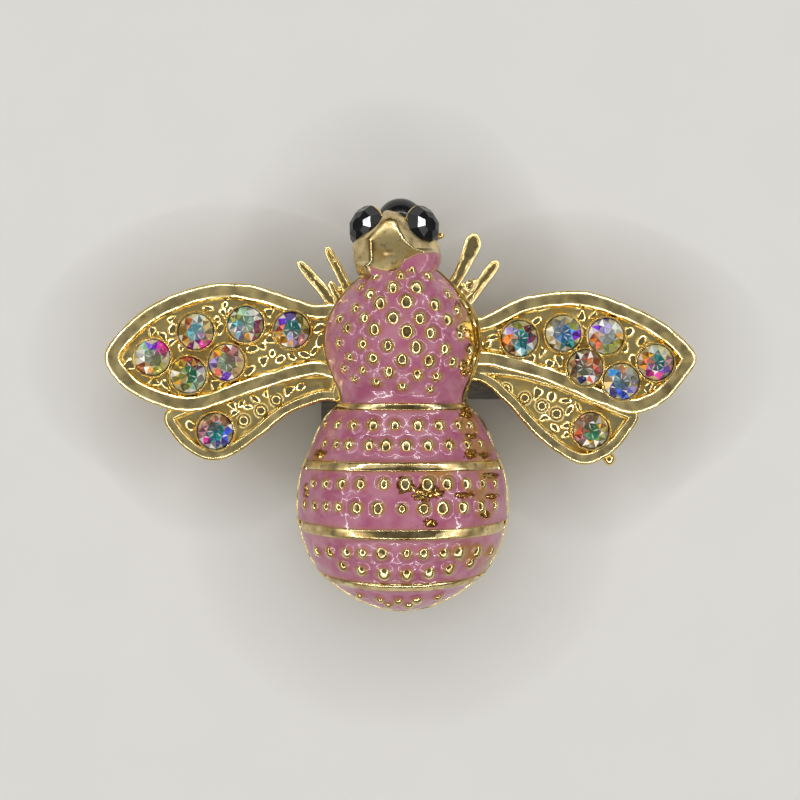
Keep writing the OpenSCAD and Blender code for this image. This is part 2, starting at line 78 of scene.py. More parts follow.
# Body outline. Columns: share of the part's length, half width, height
THORAX = [
    (0, 0.3, 0.7), (0.06, 0.42, 0.765), (0.13, 0.56, 0.835), (0.22, 0.73, 0.9), (0.32, 0.87, 0.94),
    (0.43, 0.965, 0.985), (0.55, 1, 1), (0.68, 0.975, 0.99), (0.81, 0.895, 0.92), (0.91, 0.83, 0.8)]
WAIST = (WAIST_Y, 4.15, 3.9)
ABDOMEN = [
    (0.05, 0.73, 0.7), (0.12, 0.81, 0.765), (0.21, 0.88, 0.85), (0.33, 0.97, 0.94), (0.45, 1, 0.99),
    (0.55, 0.995, 1), (0.66, 0.94, 0.96), (0.755, 0.855, 0.885), (0.82, 0.765, 0.81), (0.875, 0.64, 0.715),
    (0.93, 0.475, 0.58), (0.965, 0.335, 0.45), (0.99, 0.175, 0.3), (1, 0.04, 0.18)]
# Head outline. Columns: place, half width, height
HEAD = [
    (7.3, 1.9, 3.2), (7.8, 2.2, 3.9), (8.3, 2.4, 4.2), (9.2, 2.55, 4.4), (9.8, 2.55, 4.32), (10.3, 2.1, 4.2),
    (10.8, 1.5, 4.05), (11.2, 1.12, 3.85), (11.5, 0.9, 3.5), (11.8, 0.7, 2.8)]

# Studs. Columns: row's place along the part, rise of its right end, bow, then places across as shares of the
# half width and radii in hundredths of a millimetre
THORAX_STUDS = [
    (0.08, 0, 0, [0.115], [27]),
    (0.125, 0, 0, [-0.322, -0.019, 0.307], [35, 28, 30]),
    (0.205, 0, 0, [-0.499, -0.115, 0.173], [25, 36, 38]),
    (0.25, 0, 0, [-0.394, 0.552], [33, 28]),
    (0.3, 0, -0.1, [-0.566, -0.274, 0.048, 0.394, 0.662], [28, 38, 40, 35, 26]),
    (0.41, -0.01, -0.02, [-0.758, -0.461, -0.115, 0.211, 0.552], [25, 31, 38, 37, 35]),
    (0.5, -0.035, 0, [-0.672, -0.341, 0.053, 0.341, 0.701], [31, 38, 41, 36, 29]),
    (0.603, -0.035, 0, [-0.768, -0.485, -0.178, 0.168, 0.518, 0.816], [26, 31, 35, 38, 33, 26]),
    (0.693, -0.025, 0, [-0.638, -0.36, -0.005, 0.322, 0.61], [25, 34, 37, 37, 30]),
    (0.785, -0.05, 0, [-0.701, -0.48, -0.163, 0.182, 0.413], [21, 24, 34, 34, 29]),
    (0.87, -0.07, 0.02, [-0.576, -0.317, 0, 0.336], [20, 30, 30, 22])]
ABDOMEN_STUDS = [
    (0.092, 0, 0, [-0.72, -0.61, -0.46, -0.28, -0.07, 0.145, 0.345, 0.525, 0.63],
     [22, 27, 30, 37, 33, 35, 34, 31, 28]),
    (0.19, 0, 0.01, [-0.73, -0.62, -0.505, -0.315, -0.155, 0.035, 0.24, 0.44, 0.61, 0.73],
     [23, 27, 31, 33, 37, 36, 35, 33, 31, 26]),
    (0.375, 0, 0, [-0.835, -0.72, -0.57, -0.395, -0.175, 0.025, 0.235, 0.42, 0.6, 0.755, 0.865],
     [24, 28, 32, 33, 33, 39, 40, 36, 33, 30, 28]),
    (0.495, 0, 0.02, [-0.915, -0.825, -0.72, -0.6, -0.43, -0.23, -0.005, 0.2, 0.38, 0.57, 0.74, 0.865],
     [26, 26, 25, 27, 36, 38, 29, 38, 40, 36, 33, 28]),
    (0.713, 0, 0.01, [-0.8, -0.685, -0.525, -0.375, -0.195, 0.04, 0.2, 0.385, 0.53, 0.7, 0.83],
     [28, 31, 31, 31, 37, 30, 33, 32, 36, 36, 31]),
    (0.815, 0, 0.08, [-0.56, -0.385, -0.175, 0.04, 0.25, 0.44, 0.64], [31, 32, 38, 37, 35, 36, 34]),
    (0.945, 0, 0.03, [-0.4, -0.21, -0.04, 0.135, 0.335], [25, 28, 30, 34, 29]),
    (0.968, 0, 0.03, [-0.13, 0.06], [28, 32])]

# Bands. Columns: place of the ends and of the middle along the abdomen, width, where its bright part lies
BANDS = [
    (0, 0.005, 0.44, 0.4), (0.277, 0.295, 0.58, -0.2), (0.555, 0.623, 0.64, 0.2), (0.8, 0.888, 0.56, 0.5)]
# Half of a band's section: share of its half width and height over the enamel
HALF_BAND = [
    (-1, -0.3), (-1, 0.0), (-0.96, 0.06), (-0.9, 0.092), (-0.8, 0.108), (-0.7, 0.121), (-0.6, 0.133),
    (-0.5, 0.139), (-0.25, 0.14)]

# Wing outlines seen from above, as shares of the wing's reach and width
LEFT_FOREWING = [
    (0.2, 0.8), (0.3, 0.845), (0.5, 0.985), (0.66, 0.985), (0.82, 0.855), (0.93, 0.67), (1, 0.443),
    (0.955, 0.235), (0.862, 0.085), (0.7, 0), (0.5, 0.145), (0.3, 0.275), (0.2, 0.28)]
RIGHT_FOREWING = [
    (0.2, 0.73), (0.28, 0.745), (0.42, 0.895), (0.6, 0.94), (0.75, 0.85), (0.9, 0.68), (1, 0.443),
    (0.965, 0.26), (0.89, 0.07), (0.79, -0.015), (0.68, 0.05), (0.5, 0.225), (0.3, 0.35), (0.2, 0.36)]
LEFT_HINDWING = [
    (0.25, 0.24), (0.32, 0.245), (0.46, 0.4), (0.585, 0.685), (0.7, 0.93), (0.81, 1), (0.9, 0.87),
    (0.965, 0.67), (1, 0.45), (0.93, 0.28), (0.5, -0.15), (0.25, -0.18)]
RIGHT_HINDWING = [
    (0.25, 0), (0.34, 0.01), (0.45, 0.29), (0.57, 0.68), (0.69, 0.96), (0.79, 1.055), (0.89, 0.92),
    (0.965, 0.68), (1.01, 0.42), (0.93, 0.27), (0.55, -0.17), (0.25, -0.22)]

# Stones of a forewing, in steps of one stone outwards and forwards from the anchor stone
LEFT_STONES = [(0, 0), (1.149, -0.68), (0.2, -1.141), (-0.809, -0.806), (-1.315, 0.19), (-2.527, 0.045)]
RIGHT_STONES = [(0, 0), (-1.149, -0.14), (1.13, -0.079), (0.585, -0.906), (1.534, -1.27), (2.44, -0.767)]
LEFT_ANCHOR = (0.688, 0.62)
RIGHT_ANCHOR = (0.55, 0.608)
LEFT_HIND_SEAT = (0.779, 0.624)
RIGHT_HIND_SEAT = (0.805, 0.614)

# Pebbles. Columns: place as in the outlines, length, width, heading in degrees. All are made a little larger
PEBBLE_GROWTH = 1.08
# Radius that a pebble keeps clear, as a share of its length and width together
PEBBLE_ROOM = 0.27
LEFT_PEBBLES = [
    (0.912, 0.366, 0.7, 0.6, 0), (0.768, 0.641, 0.75, 0.4, 60), (0.801, 0.588, 0.7, 0.35, -45),
    (0.596, 0.763, 0.6, 0.35, -60), (0.57, 0.765, 0.6, 0.42, 70), (0.606, 0.641, 0.6, 0.5, 80),
    (0.441, 0.771, 0.55, 0.5, 0), (0.448, 0.641, 0.7, 0.3, 80), (0.498, 0.489, 0.65, 0.5, 30),
    (0.461, 0.397, 0.62, 0.52, 70), (0.404, 0.41, 0.55, 0.5, 0), (0.44, 0.56, 0.55, 0.5, 0),
    (0.364, 0.43, 0.5, 0.4, 0), (0.508, 0.321, 0.75, 0.45, 60), (0.623, 0.214, 0.6, 0.55, 0),
    (0.828, 0.229, 0.7, 0.38, -10), (0.79, 0.21, 0.8, 0.35, -50), (0.44, 0.85, 1.0, 0.4, -5),
    (0.735, 0.51, 0.7, 0.35, 60)]
RIGHT_PEBBLES = [
    (0.461, 0.702, 0.6, 0.42, 60), (0.613, 0.74, 0.62, 0.45, 80), (0.653, 0.748, 0.65, 0.3, 40),
    (0.771, 0.618, 0.7, 0.5, 60), (0.815, 0.55, 0.6, 0.5, 50), (0.788, 0.405, 0.65, 0.5, 70),
    (0.441, 0.412, 0.6, 0.5, 0), (0.505, 0.37, 0.62, 0.5, 70), (0.838, 0.191, 0.75, 0.4, 60),
    (0.345, 0.62, 0.5, 0.4, 0), (0.35, 0.48, 0.5, 0.4, 0), (0.48, 0.8, 0.9, 0.35, 10),
    (0.88, 0.2, 0.9, 0.4, 30), (0.62, 0.62, 0.7, 0.3, 85), (0.76, 0.49, 0.6, 0.35, 60)]
# Ringed studs of the hindwings. Columns: place as in the outlines, width
LEFT_RINGS = [(0.66, 0.487, 0.96), (0.587, 0.362, 0.96), (0.523, 0.228, 0.94)]
RIGHT_RINGS = [(0.446, 0.089, 0.92), (0.527, 0.203, 0.94), (0.599, 0.304, 0.94), (0.661, 0.405, 1.0)]

# Colours of each stone: under its table, then round its crown clockwise from the top. They are partly the
# hues of its coat and foil, partly painted reflection of the light that comes back through them, with white
# standing for a painted glint
STONE_COLOURS = [
    "ice silver cream sand magenta plum amber gold orange",
    "sage violet magenta clear olive gold orange white mint",
    "green rust maroon silver mint olive amber gold gold",
    "sage rust rose clear sand violet coral lavender gold",
    "mint mint silver plum maroon amber lavender ice olive",
    "teal indigo olive sand rose lavender amber coral violet",
    "teal rose brown blue navy navy magenta rose brown",
    "azure sand olive violet teal teal sand white clear",
    "teal olive maroon plum slate ice brown orange lavender",
    "silver lavender silver amber olive olive coral orange violet",
    "moss rust orange coral plum navy sand brown maroon",
    "slate orange silver clear lavender blue navy cream azure",
    "teal silver clear rose violet magenta magenta coral amber",
    "green brown gold orange olive gold rose coral brown"]
GLASS_HUES = {
    "ice": "#7CCBD8", "teal": "#1F8F8C", "green": "#2F8F5E", "mint": "#9AC4A4", "sage": "#95A283",
    "moss": "#858C70", "olive": "#8B9138", "silver": "#C6D0C6", "azure": "#3F8FD0", "blue": "#2F55D0",
    "navy": "#2B3478", "slate": "#5F8594", "indigo": "#4A2D8B", "violet": "#7A2CE0", "lavender": "#B6A2E6",
    "plum": "#7A2A72", "magenta": "#DC2A98", "rose": "#BE8088", "coral": "#EA6442", "rust": "#A8432A",
    "maroon": "#78303A", "orange": "#EC7E2A", "amber": "#DE9A22", "gold": "#E2B62C", "brown": "#8C6244",
    "sand": "#BFA66E", "clear": "#B9AE78", "cream": "#FFDF94", "white": "#EFEDE4"}

# Places where the enamel has broken away. Columns: across, along, then half sizes
CHIPS = [
    (3.95, 2.2, 0.3, 0.5), (4.25, 3.3, 0.2, 0.4), (3.55, 5.9, 0.18, 0.4), (4.05, 4.6, 0.14, 0.3),
    (4.1, -0.5, 0.42, 0.28), (4.4, -1.85, 0.4, 0.14), (4.3, -2.95, 0.36, 0.26), (5.15, -3.0, 0.32, 0.18),
    (-4.85, -2.9, 0.36, 0.24), (0.55, -4.9, 0.4, 0.3), (1.3, -5.3, 0.55, 0.42), (2.1, -5.2, 0.5, 0.36),
    (0.1, -4.8, 0.18, 0.55), (1.85, -7.1, 0.34, 0.26), (3.8, -5.4, 0.6, 0.16), (5.5, -4.25, 0.5, 0.14),
    (5.2, -6.6, 0.32, 0.22), (-5.75, -5.2, 0.16, 0.45), (5.6, -5.5, 0.4, 0.14)]
# Places where thin enamel lets the metal shine through, with the same columns
STAINS = [
    (4.4, -8.9, 1.5, 0.7), (5.0, -5.4, 1.2, 0.5), (5.3, -4.3, 0.8, 0.4), (2.4, -4.3, 1.0, 0.4),
    (4.2, 2.4, 0.6, 0.9), (4.2, -1.2, 0.7, 1.2), (4.9, -2.7, 0.9, 0.6), (5.6, -10, 1.0, 1.2),
    (-5.0, -3.0, 0.5, 0.4), (3.8, 5.2, 0.5, 1.2), (5.1, -6.6, 0.6, 0.4)]

# Distance between the points of the finer meshes, and points across the body and across the head
SPACING = 0.1
BODY_ACROSS = 160
HEAD_ROWS, HEAD_ACROSS = 130, 170
UP = np.array([0.0, 0.0, 1.0])
# Largest turn that is drawn at random, a full one
ANY_TURN = 6.28
random.seed(11)


def step_up(low, high, value):
    """Smooth step from 0 at low to 1 at high"""
    t = np.clip((value - low) / (high - low), 0, 1)
    return t * t * (3 - 2 * t)


def hump(value, width):
    """Bell curve with its top, 1, at value 0"""
    return np.exp(-(value / width) ** 2)


def fade(value, width):
    """1 up to value 0, then falling off over width"""
    return np.exp(-np.maximum(value, 0) / width)


def circle(count):
    """Angles evenly round a circle"""
    return np.linspace(0, 2 * math.pi, count, endpoint=False)


def ripple(points, size, shift=0.0):
    """Smooth random swell over points, size being the distance from crest to crest"""
    flat = points.reshape(-1, 3) / size + shift
    return np.array([noise.noise(Vector(p)) for p in flat]).reshape(points.shape[:-1])


def unit(vectors):
    return vectors / np.maximum(np.linalg.norm(vectors, axis=-1, keepdims=True), 1e-9)


def curve_through(places, values, at):
    """Smooth curve through values at rising places"""
    slopes = np.gradient(values, places)
    i = np.clip(np.searchsorted(places, at) - 1, 0, len(places) - 2)
    step = places[i + 1] - places[i]
    t = np.clip((at - places[i]) / step, 0, 1)
    return (
        (2 * t**3 - 3 * t**2 + 1) * values[i] + (t**3 - 2 * t**2 + t) * step * slopes[i]
        + (3 * t**2 - 2 * t**3) * values[i + 1] + (t**3 - t**2) * step * slopes[i + 1])


class Loft:
    """Half-round form lofted through rows of place, half width and height"""

    def __init__(self, rows, x, roundness):
        self.y, self.w, self.h = np.array(sorted(rows), float).T
        self.x = x
        self.roundness = roundness

    def half_width(self, y):
        return np.maximum(curve_through(self.y, self.w, y), 0.02)

    def height(self, y):
        return np.maximum(curve_through(self.y, self.h, y), 0.1)

    def skin(self, angle, y):
        c, s = np.cos(angle), np.maximum(np.sin(angle), 0)
        bend = 2 / self.roundness
        x = self.x + self.half_width(y) * np.sign(c) * np.abs(c) ** bend
        return np.stack([x, y + 0 * angle, BACK_Z + self.height(y) * s**bend], -1)

    def out(self, angle, y):
        """Direction straight out of the skin"""
        d = 0.01
        angle = np.clip(angle, 3 * d, math.pi - 3 * d)
        across = self.skin(angle + d, y) - self.skin(angle - d, y)
        along = self.skin(angle, y + d) - self.skin(angle, y - d)
        return unit(np.cross(along, across))

    def at(self, angle, y, level):
        return self.skin(angle, y) + self.out(angle, y) * np.asarray(level)[..., None]

    def angle_for(self, x, y):
        """Angle of the point that lies at x when seen from above"""
        share = np.clip((x - self.x) / self.half_width(y), -0.995, 0.995)
        return np.arccos(np.sign(share) * np.abs(share) ** (self.roundness / 2))

    def angle_up(self, z, y):
        """Angle of the right edge's point at height z above the back"""
        return np.arcsin(np.clip(z / self.height(y), 0, 0.98) ** (self.roundness / 2))


body = Loft(
    [(NECK_Y - a * THORAX_LEN, b * THORAX_W / 2, c * THORAX_H) for a, b, c in THORAX] + [WAIST]
    + [(WAIST_Y - a * ABDOMEN_LEN, b * ABDOMEN_W / 2, c * ABDOMEN_H) for a, b, c in ABDOMEN],
    BODY_X, ROUNDNESS)
head = Loft(HEAD, HEAD_X, HEAD_ROUNDNESS)


class Work:
    """Points and faces of one piece while it is made"""

    def __init__(self):
        self.points = []
        self.faces = []
        self.parts = []
        self.polish = []
        self.count = 0

    def add(self, points, faces, part=0, polish=1.0):
        points = np.asarray(points, float).reshape(-1, 3)
        self.points.append(points)
        self.polish.append(np.broadcast_to(np.asarray(polish, float).reshape(-1), len(points)))
        self.join([[i + self.count for i in f] for f in faces], part)
        self.count += len(points)

    def join(self, faces, part=0):
        """Faces over points that are there already"""
        self.faces += faces
        self.parts += [part] * len(faces)

    def grid(self, points, closed=False, part=0, polish=1.0):
        """Skin over a grid of points, closed along its second direction if asked"""
        rows, across = points.shape[:2]
        last = across if closed else across - 1
        i = np.arange(rows - 1)[:, None] * across
        j = np.arange(last)[None, :]
        k = (j + 1) % across
        faces = np.stack([i + j, i + k, i + across + k, i + across + j], -1).reshape(-1, 4)
        self.add(points, faces.tolist(), part, polish)

    def tube(self, rings, part=0, polish=1.0):
        """Closed solid through rings of points, its two ends filled"""
        rows, across = rings.shape[:2]
        self.grid(rings, True, part, polish)
        start = self.count - rows * across
        end = self.count - across
        self.join([list(range(start, start + across)), list(range(end, self.count))], part)


def piece(work, name, materials, replaced, smooth=True, values=None, crease=40, tones=None):
    """Turns work into an object that rides with the brooch and stands for the nodes it replaces"""
    points = np.concatenate(work.points) * MM
    mesh = bpy.data.meshes.new(name)
    mesh.from_pydata(points.tolist(), [], work.faces)
    if GOLD in materials:
        values = dict(values or {}, polish=np.concatenate(work.polish))
    for key, array in (values or {}).items():
        mesh.attributes.new(key, "FLOAT", "POINT").data.foreach_set("value", np.asarray(array, np.float32))
    if tones:
        colours = [c for face, c in zip(work.faces, tones) for _ in face]
        layer = mesh.color_attributes.new("facet_colour", "FLOAT_COLOR", "CORNER")
        layer.data.foreach_set("color", np.array(colours, np.float32).reshape(-1))
    mesh.polygons.foreach_set("material_index", work.parts)
    mesh.polygons.foreach_set("use_smooth", [smooth] * len(mesh.polygons))
    for m in materials:
        mesh.materials.append(m)
    if smooth:
        mesh.set_sharp_from_angle(angle=math.radians(crease))
    made = bpy.data.objects.new(name, mesh)
    bpy.context.scene.collection.objects.link(made)
    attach(made, "root")
    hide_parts(*replaced)


# Materials
def hue(text):
    """Linear colour of an sRGB hex value"""
    srgb = [int(text[i:i + 2], 16) / 255 for i in (1, 3, 5)]
    return [c / 12.92 if c <= 0.04045 else ((c + 0.055) / 1.055) ** 2.4 for c in srgb] + [1.0]


def fill(tree, made, inputs):
    """Gives a node's inputs what they are to have, each a value or a socket to link"""
    for name, value in inputs.items():
        socket = made.inputs[name]
        if isinstance(value, bpy.types.NodeSocket):
            tree.links.new(value, socket)
        else:
            socket.default_value = value


def add_node(tree, kind, settings, inputs):
    """Adds a node with its settings and its inputs"""
    made = tree.nodes.new(kind)
    for name, value in settings.items():
        setattr(made, name, value)
    fill(tree, made, inputs)
    return made


def material(recipe):
    """Material named for its recipe, a function of the tree and the place that returns the shader's inputs"""
    made = bpy.data.materials.new(recipe.__name__)
    made.use_nodes = True
    tree = made.node_tree
    place = add_node(tree, "ShaderNodeTexCoord", {}, {}).outputs["Object"]
    fill(tree, tree.nodes["Principled BSDF"], recipe(tree, place))
    return made


def grain(tree, place, size_mm, detail=2.0):
    """Noise whose blotches are about size_mm across"""
    inputs = {"Vector": place, "Scale": 1 / (size_mm * MM), "Detail": detail}
    return add_node(tree, "ShaderNodeTexNoise", {}, inputs).outputs["Fac"]


def between(tree, share, low, high, a, b):
    """Value that goes from a to b as share goes from low to high"""
    inputs = {"Value": share, "From Min": low, "From Max": high, "To Min": a, "To Max": b}
    return add_node(tree, "ShaderNodeMapRange", {}, inputs).outputs["Result"]


def mixed(tree, share, a, b):
    """Colour that goes from a to b with share"""
    mix = add_node(tree, "ShaderNodeMix", {"data_type": "RGBA"}, {"Factor": share})
    for socket, colour in ((mix.inputs[6], a), (mix.inputs[7], b)):
        if isinstance(colour, str):
            socket.default_value = hue(colour)
        else:
            tree.links.new(colour, socket)
    return mix.outputs[2]


def carried(tree, attribute):
    """Value that a piece carries at each of its points"""
    return add_node(tree, "ShaderNodeAttribute", {"attribute_name": attribute}, {}).outputs["Fac"]


def polished(tree, satin, bright):
    """Roughness that goes from satin to bright with the polish that a piece carries"""
    inputs = {"Factor": carried(tree, "polish"), "A": satin, "B": bright}
    return add_node(tree, "ShaderNodeMix", {}, inputs).outputs["Result"]


def bumped(tree, height, depth_mm, strength):
    """Unevenness too fine to model"""
    inputs = {"Height": height, "Distance": depth_mm * MM, "Strength": strength}
    return add_node(tree, "ShaderNodeBump", {}, inputs).outputs["Normal"]


def gold_plate(tree, place):
    """Thin bright gold plate over cast white metal: pale, mirror-like, a little uneven from tumbling"""
    colour = mixed(tree, grain(tree, place, 1.6), "#FAE7AE", "#E9CE82")
    spots = between(tree, grain(tree, place, 0.5, 4.0), 0.58, 0.72, 0, 0.5)
    colour = mixed(tree, spots, colour, "#BFA05A")
    speckle = between(tree, grain(tree, place, 0.12), 0.42, 0.58, 0, 1)
    colour = mixed(tree, carried(tree, "worn"), colour, mixed(tree, speckle, "#4A1F10", "#E8B03C"))
    satin = between(tree, grain(tree, place, 0.8, 4.0), 0.35, 0.65, 0.22, 0.42)
    return {
        "Base Color": colour, "Metallic": 1.0, "Roughness": polished(tree, satin, 0.08),
        "Normal": bumped(tree, grain(tree, place, 0.25, 3.0), 0.01, 0.5)}


def lacquered_gold(tree, place):
    """Gold under a thin film of clear resin wiped over it: satin and tan, with one sharp wet glint"""
    mottle = between(tree, grain(tree, place, 0.9, 4.0), 0.36, 0.64, 0, 1)
    colour = mixed(tree, mottle, "#B89858", "#F0DA9C")
    stain = between(tree, grain(tree, place, 0.35, 3.0), 0.56, 0.7, 0, 0.7)
    colour = mixed(tree, stain, colour, "#8A6A3C")
    satin = between(tree, mottle, 0, 1, 0.48, 0.34)
    return {
        "Base Color": colour, "Metallic": 1.0, "Roughness": polished(tree, satin, 0.06), "Coat Weight": 1.0,
        "Coat Roughness": 0.03, "Normal": bumped(tree, grain(tree, place, 0.3, 2.0), 0.008, 0.5)}


def cast_gold(tree, place):
    """Plated metal as it left the mould, in the sunk floors that no polishing wheel reaches: deep satin"""
    blotch = between(tree, grain(tree, place, 0.7, 3.0), 0.35, 0.65, 0, 1)
    return {
        "Base Color": mixed(tree, blotch, "#E0C270", "#F5E4A6"), "Metallic": 1.0,
        "Roughness": between(tree, blotch, 0, 1, 0.42, 0.28),
        "Normal": bumped(tree, grain(tree, place, 0.2, 3.0), 0.015, 0.6)}


def pink_enamel(tree, place):
    """Soft enamel: a glossy opaque resin, mauve pink, that thins to amber where it climbs the metal"""
    cloud = between(tree, grain(tree, place, 1.3, 3.0), 0.35, 0.65, 0, 1)
    colour = mixed(tree, cloud, "#A95A76", "#BB7C8E")
    fleck = between(tree, grain(tree, place, 0.16, 1.0), 0.72, 0.76, 0, 0.5)
    colour = mixed(tree, fleck, colour, "#7C3A63")
    colour = mixed(tree, carried(tree, "thin"), colour, "#A8783C")
    return {
        "Base Color": colour, "Roughness": 0.12, "IOR": 1.5, "Coat Weight": 0.4, "Coat Roughness": 0.04,
        "Normal": bumped(tree, grain(tree, place, 0.7, 1.0), 0.01, 0.6)}


def black_enamel(tree, place):
    """Black glossy enamel of the face, smooth as glass"""
    return {
        "Base Color": mixed(tree, grain(tree, place, 1.0), "#060607", "#121214"), "Roughness": 0.1,
        "Normal": bumped(tree, grain(tree, place, 0.8), 0.01, 0.4)}


def jet_glass(tree, place):
    """Jet: opaque black cut glass with flat polished facets"""
    return {
        "Base Color": mixed(tree, grain(tree, place, 0.9), "#050506", "#101013"),
        "Roughness": between(tree, grain(tree, place, 0.3), 0.3, 0.7, 0.03, 0.12), "IOR": 1.6}


def coated_glass(tree, place):
    """Foiled cut glass under a rainbow oxide coat, drawn opaque: each facet carries its hue with painted
    light and shade, and painted white glints in streaks lie on top
    """
    facet = add_node(tree, "ShaderNodeVertexColor", {"layer_name": "facet_colour"}, {}).outputs["Color"]
    # Painted glints: thin streaks of near white mixed into the base colour
    painted_glint = between(tree, grain(tree, place, 0.16, 2.0), 0.6, 0.72, 0, 0.35)
    return {
        "Base Color": mixed(tree, painted_glint, facet, "#FFFDF4"), "Metallic": 0.25,
        "Roughness": between(tree, grain(tree, place, 0.3), 0.3, 0.7, 0.08, 0.2), "IOR": 1.56,
        "Coat Weight": 1.0, "Coat Roughness": 0.01}


def pin_steel(tree, place):
    """Nickel plated steel of the pin fitting, drawn and pressed, with a grey brushed shine"""
    drawn = add_node(tree, "ShaderNodeMapping", {}, {"Vector": place, "Scale": (0.15, 1.0, 1.0)})
    streaks = grain(tree, drawn.outputs["Vector"], 0.12, 3.0)
    return {
        "Base Color": mixed(tree, streaks, "#77746E", "#A19C92"), "Metallic": 1.0,
        "Roughness": between(tree, streaks, 0.3, 0.7, 0.22, 0.4), "Normal": bumped(tree, streaks, 0.01, 0.4)}


def pale_card(tree, place):
    """Plain pale card that the brooch lies on"""
    return {
        "Base Color": mixed(tree, grain(tree, place, 6.0, 4.0), "#D9D7D2", "#DEDCD8"), "Roughness": 0.8,
        "Normal": bumped(tree, grain(tree, place, 0.4), 0.02, 0.3)}


GOLD = material(gold_plate)
PINK = material(pink_enamel)
BLACK = material(black_enamel)
JET = material(jet_glass)
GLASS = material(coated_glass)
LACQUERED = material(lacquered_gold)
CAST = material(cast_gold)
STEEL = material(pin_steel)


# Lathe work, sweeps and plates
def frame_of(out):
    """Two directions square to out"""
    side = unit(np.cross([0.0, 1.0, 0.0] if abs(out[1]) < 0.9 else [1.0, 0.0, 0.0], out))
    return side, np.cross(out, side)


def turned(work, centre, out, profile, sides, shape=None, part=0, polish=None, start=0.0):
    """Solid of revolution through radius and height pairs, from its foot to its top"""
    side, fore = frame_of(out)
    turn = circle(sides) + start
    swell = np.ones(sides) if shape is None else shape(turn)
    ring = np.cos(turn)[:, None] * side + np.sin(turn)[:, None] * fore
    rings = np.array([centre + out * z + ring * (r * swell)[:, None] for r, z in profile])
    work.tube(rings, part, np.repeat(polish or [1.0] * len(profile), sides))


def ball(radius, gap, count):
    """Profile of a ball whose poles are left open by a small angle"""
    return [(radius * math.sin(t), -radius * math.cos(t)) for t in np.linspace(gap, math.pi - gap, count)]


def swept(work, path, out, half_width, section, part=0, polish=None):
    """Bar along a path, its section given as shares of the half width across and millimetres out"""
    along = unit(np.gradient(path, axis=0))
    side = unit(np.cross(out, along))
    share = np.array([s for s, _ in section])
    lift = np.array([z for _, z in section])
    rings = (
        path[:, None, :] + side[:, None, :] * (share[None, :] * half_width[:, None])[..., None]
        + out[:, None, :] * lift[None, :, None])
    work.tube(rings, part, 1.0 if polish is None else np.repeat(polish, len(section)))


def smooth_loop(points, spacing):
    """Closed smooth outline through points, its own points evenly spaced"""
    points = np.array(points, float)
    a, b, c, d = (np.roll(points, k, axis=0)[:, None, :] for k in (1, 0, -1, -2))
    t = np.linspace(0, 1, 24, endpoint=False)[None, :, None]
    fine = 0.5 * (
        2 * b + (c - a) * t + (2 * a - 5 * b + 4 * c - d) * t**2 + (3 * b - a - 3 * c + d) * t**3)
    closed = np.vstack([fine.reshape(-1, 2), fine[0, :1]])
    run = np.concatenate([[0], np.cumsum(np.linalg.norm(np.diff(closed, axis=0), axis=1))])
    count = max(12, int(run[-1] / spacing))
    at = np.linspace(0, run[-1], count, endpoint=False)
    return np.stack([np.interp(at, run, closed[:, k]) for k in (0, 1)], -1)


def inward(loop):
    """Unit directions into a loop"""
    along = np.roll(loop, -1, axis=0) - np.roll(loop, 1, axis=0)
    normal = unit(np.stack([-along[:, 1], along[:, 0]], -1))
    area = np.sum(loop[:, 0] * np.roll(loop[:, 1], -1) - loop[:, 1] * np.roll(loop[:, 0], -1))
    return normal if area > 0 else -normal


def inset(loop, distance):
    """Loop moved in by distance, a little at a time so that it stays smooth"""
    steps = max(1, int(math.ceil(abs(distance) / 0.05)))
    for _ in range(steps):
        loop = loop + inward(loop) * distance / steps
        loop = 0.5 * loop + 0.25 * (np.roll(loop, 1, axis=0) + np.roll(loop, -1, axis=0))
    return loop


def inside(loop, points):
    """Which points lie inside a loop"""
    x, y = points[:, 0:1], points[:, 1:2]
    ax, ay = loop[:, 0][None], loop[:, 1][None]
    bx, by = np.roll(loop[:, 0], -1)[None], np.roll(loop[:, 1], -1)[None]
    crosses = (ay > y) != (by > y)
    with np.errstate(divide="ignore", invalid="ignore"):
        hit = crosses & (x < (bx - ax) * (y - ay) / (by - ay) + ax)
    return hit.sum(1) % 2 == 1


def plate(work, outline, z, profile, floor, spacing=SPACING, wobble=0.022, floor_part=1):
    """Plate with a raised rim, its profile going from the outer foot to the floor as inset and height pairs.

    The rim's edges are polished, and the flat between them is left satin.
    """
    foot, top_margin, swell = 0.3, 0.012, 0.06
    rings = []
    loop, reached = outline, 0.0
    for distance, height in profile:
        loop = inset(loop, distance - reached)
        reached = distance
        ring = np.column_stack([loop, np.full(len(loop), z + height)])
        if height > foot:
            shake = ripple(ring * [1, 1, 0.2], 0.7) * wobble
            ring[:, 2] += shake
            ring[:, :2] += inward(loop) * (ripple(ring * [1, 1, 0.2], 0.9, 7.7) * wobble * 1.4)[:, None]
        rings.append(ring)
    top = max(height for _, height in profile) - top_margin
    polish = [0.0 if height < foot or height > top else 1.0 for _, height in profile]
    work.grid(np.array(rings), True, 0, np.repeat(polish, len(outline)))
    start = work.count - len(rings) * len(outline)
    work.join([list(range(start, start + len(outline)))])
    low, high = loop.min(0), loop.max(0)
    xs = np.arange(low[0], high[0], spacing)
    ys = np.arange(low[1], high[1], spacing)
    across = np.stack(np.meshgrid(xs, ys), -1).reshape(-1, 2)
    across = across[inside(inset(loop, spacing * 0.6), across)]
    flat = np.vstack([loop, across])
    n = len(loop)
    edges = [(i, (i + 1) % n) for i in range(n)]
    points, _, faces, *_ = delaunay_2d_cdt([Vector(p) for p in flat], edges, [], 1, 1e-6)
    points = np.array([[p[0], p[1], z + floor] for p in points])
    points[:n, 2] = rings[-1][:, 2]
    points[n:, 2] += (ripple(points[n:], 0.7, 3.1) + 0.4 * ripple(points[n:], 0.3, 1.1)) * swell
    work.add(points, [list(f) for f in faces], floor_part)


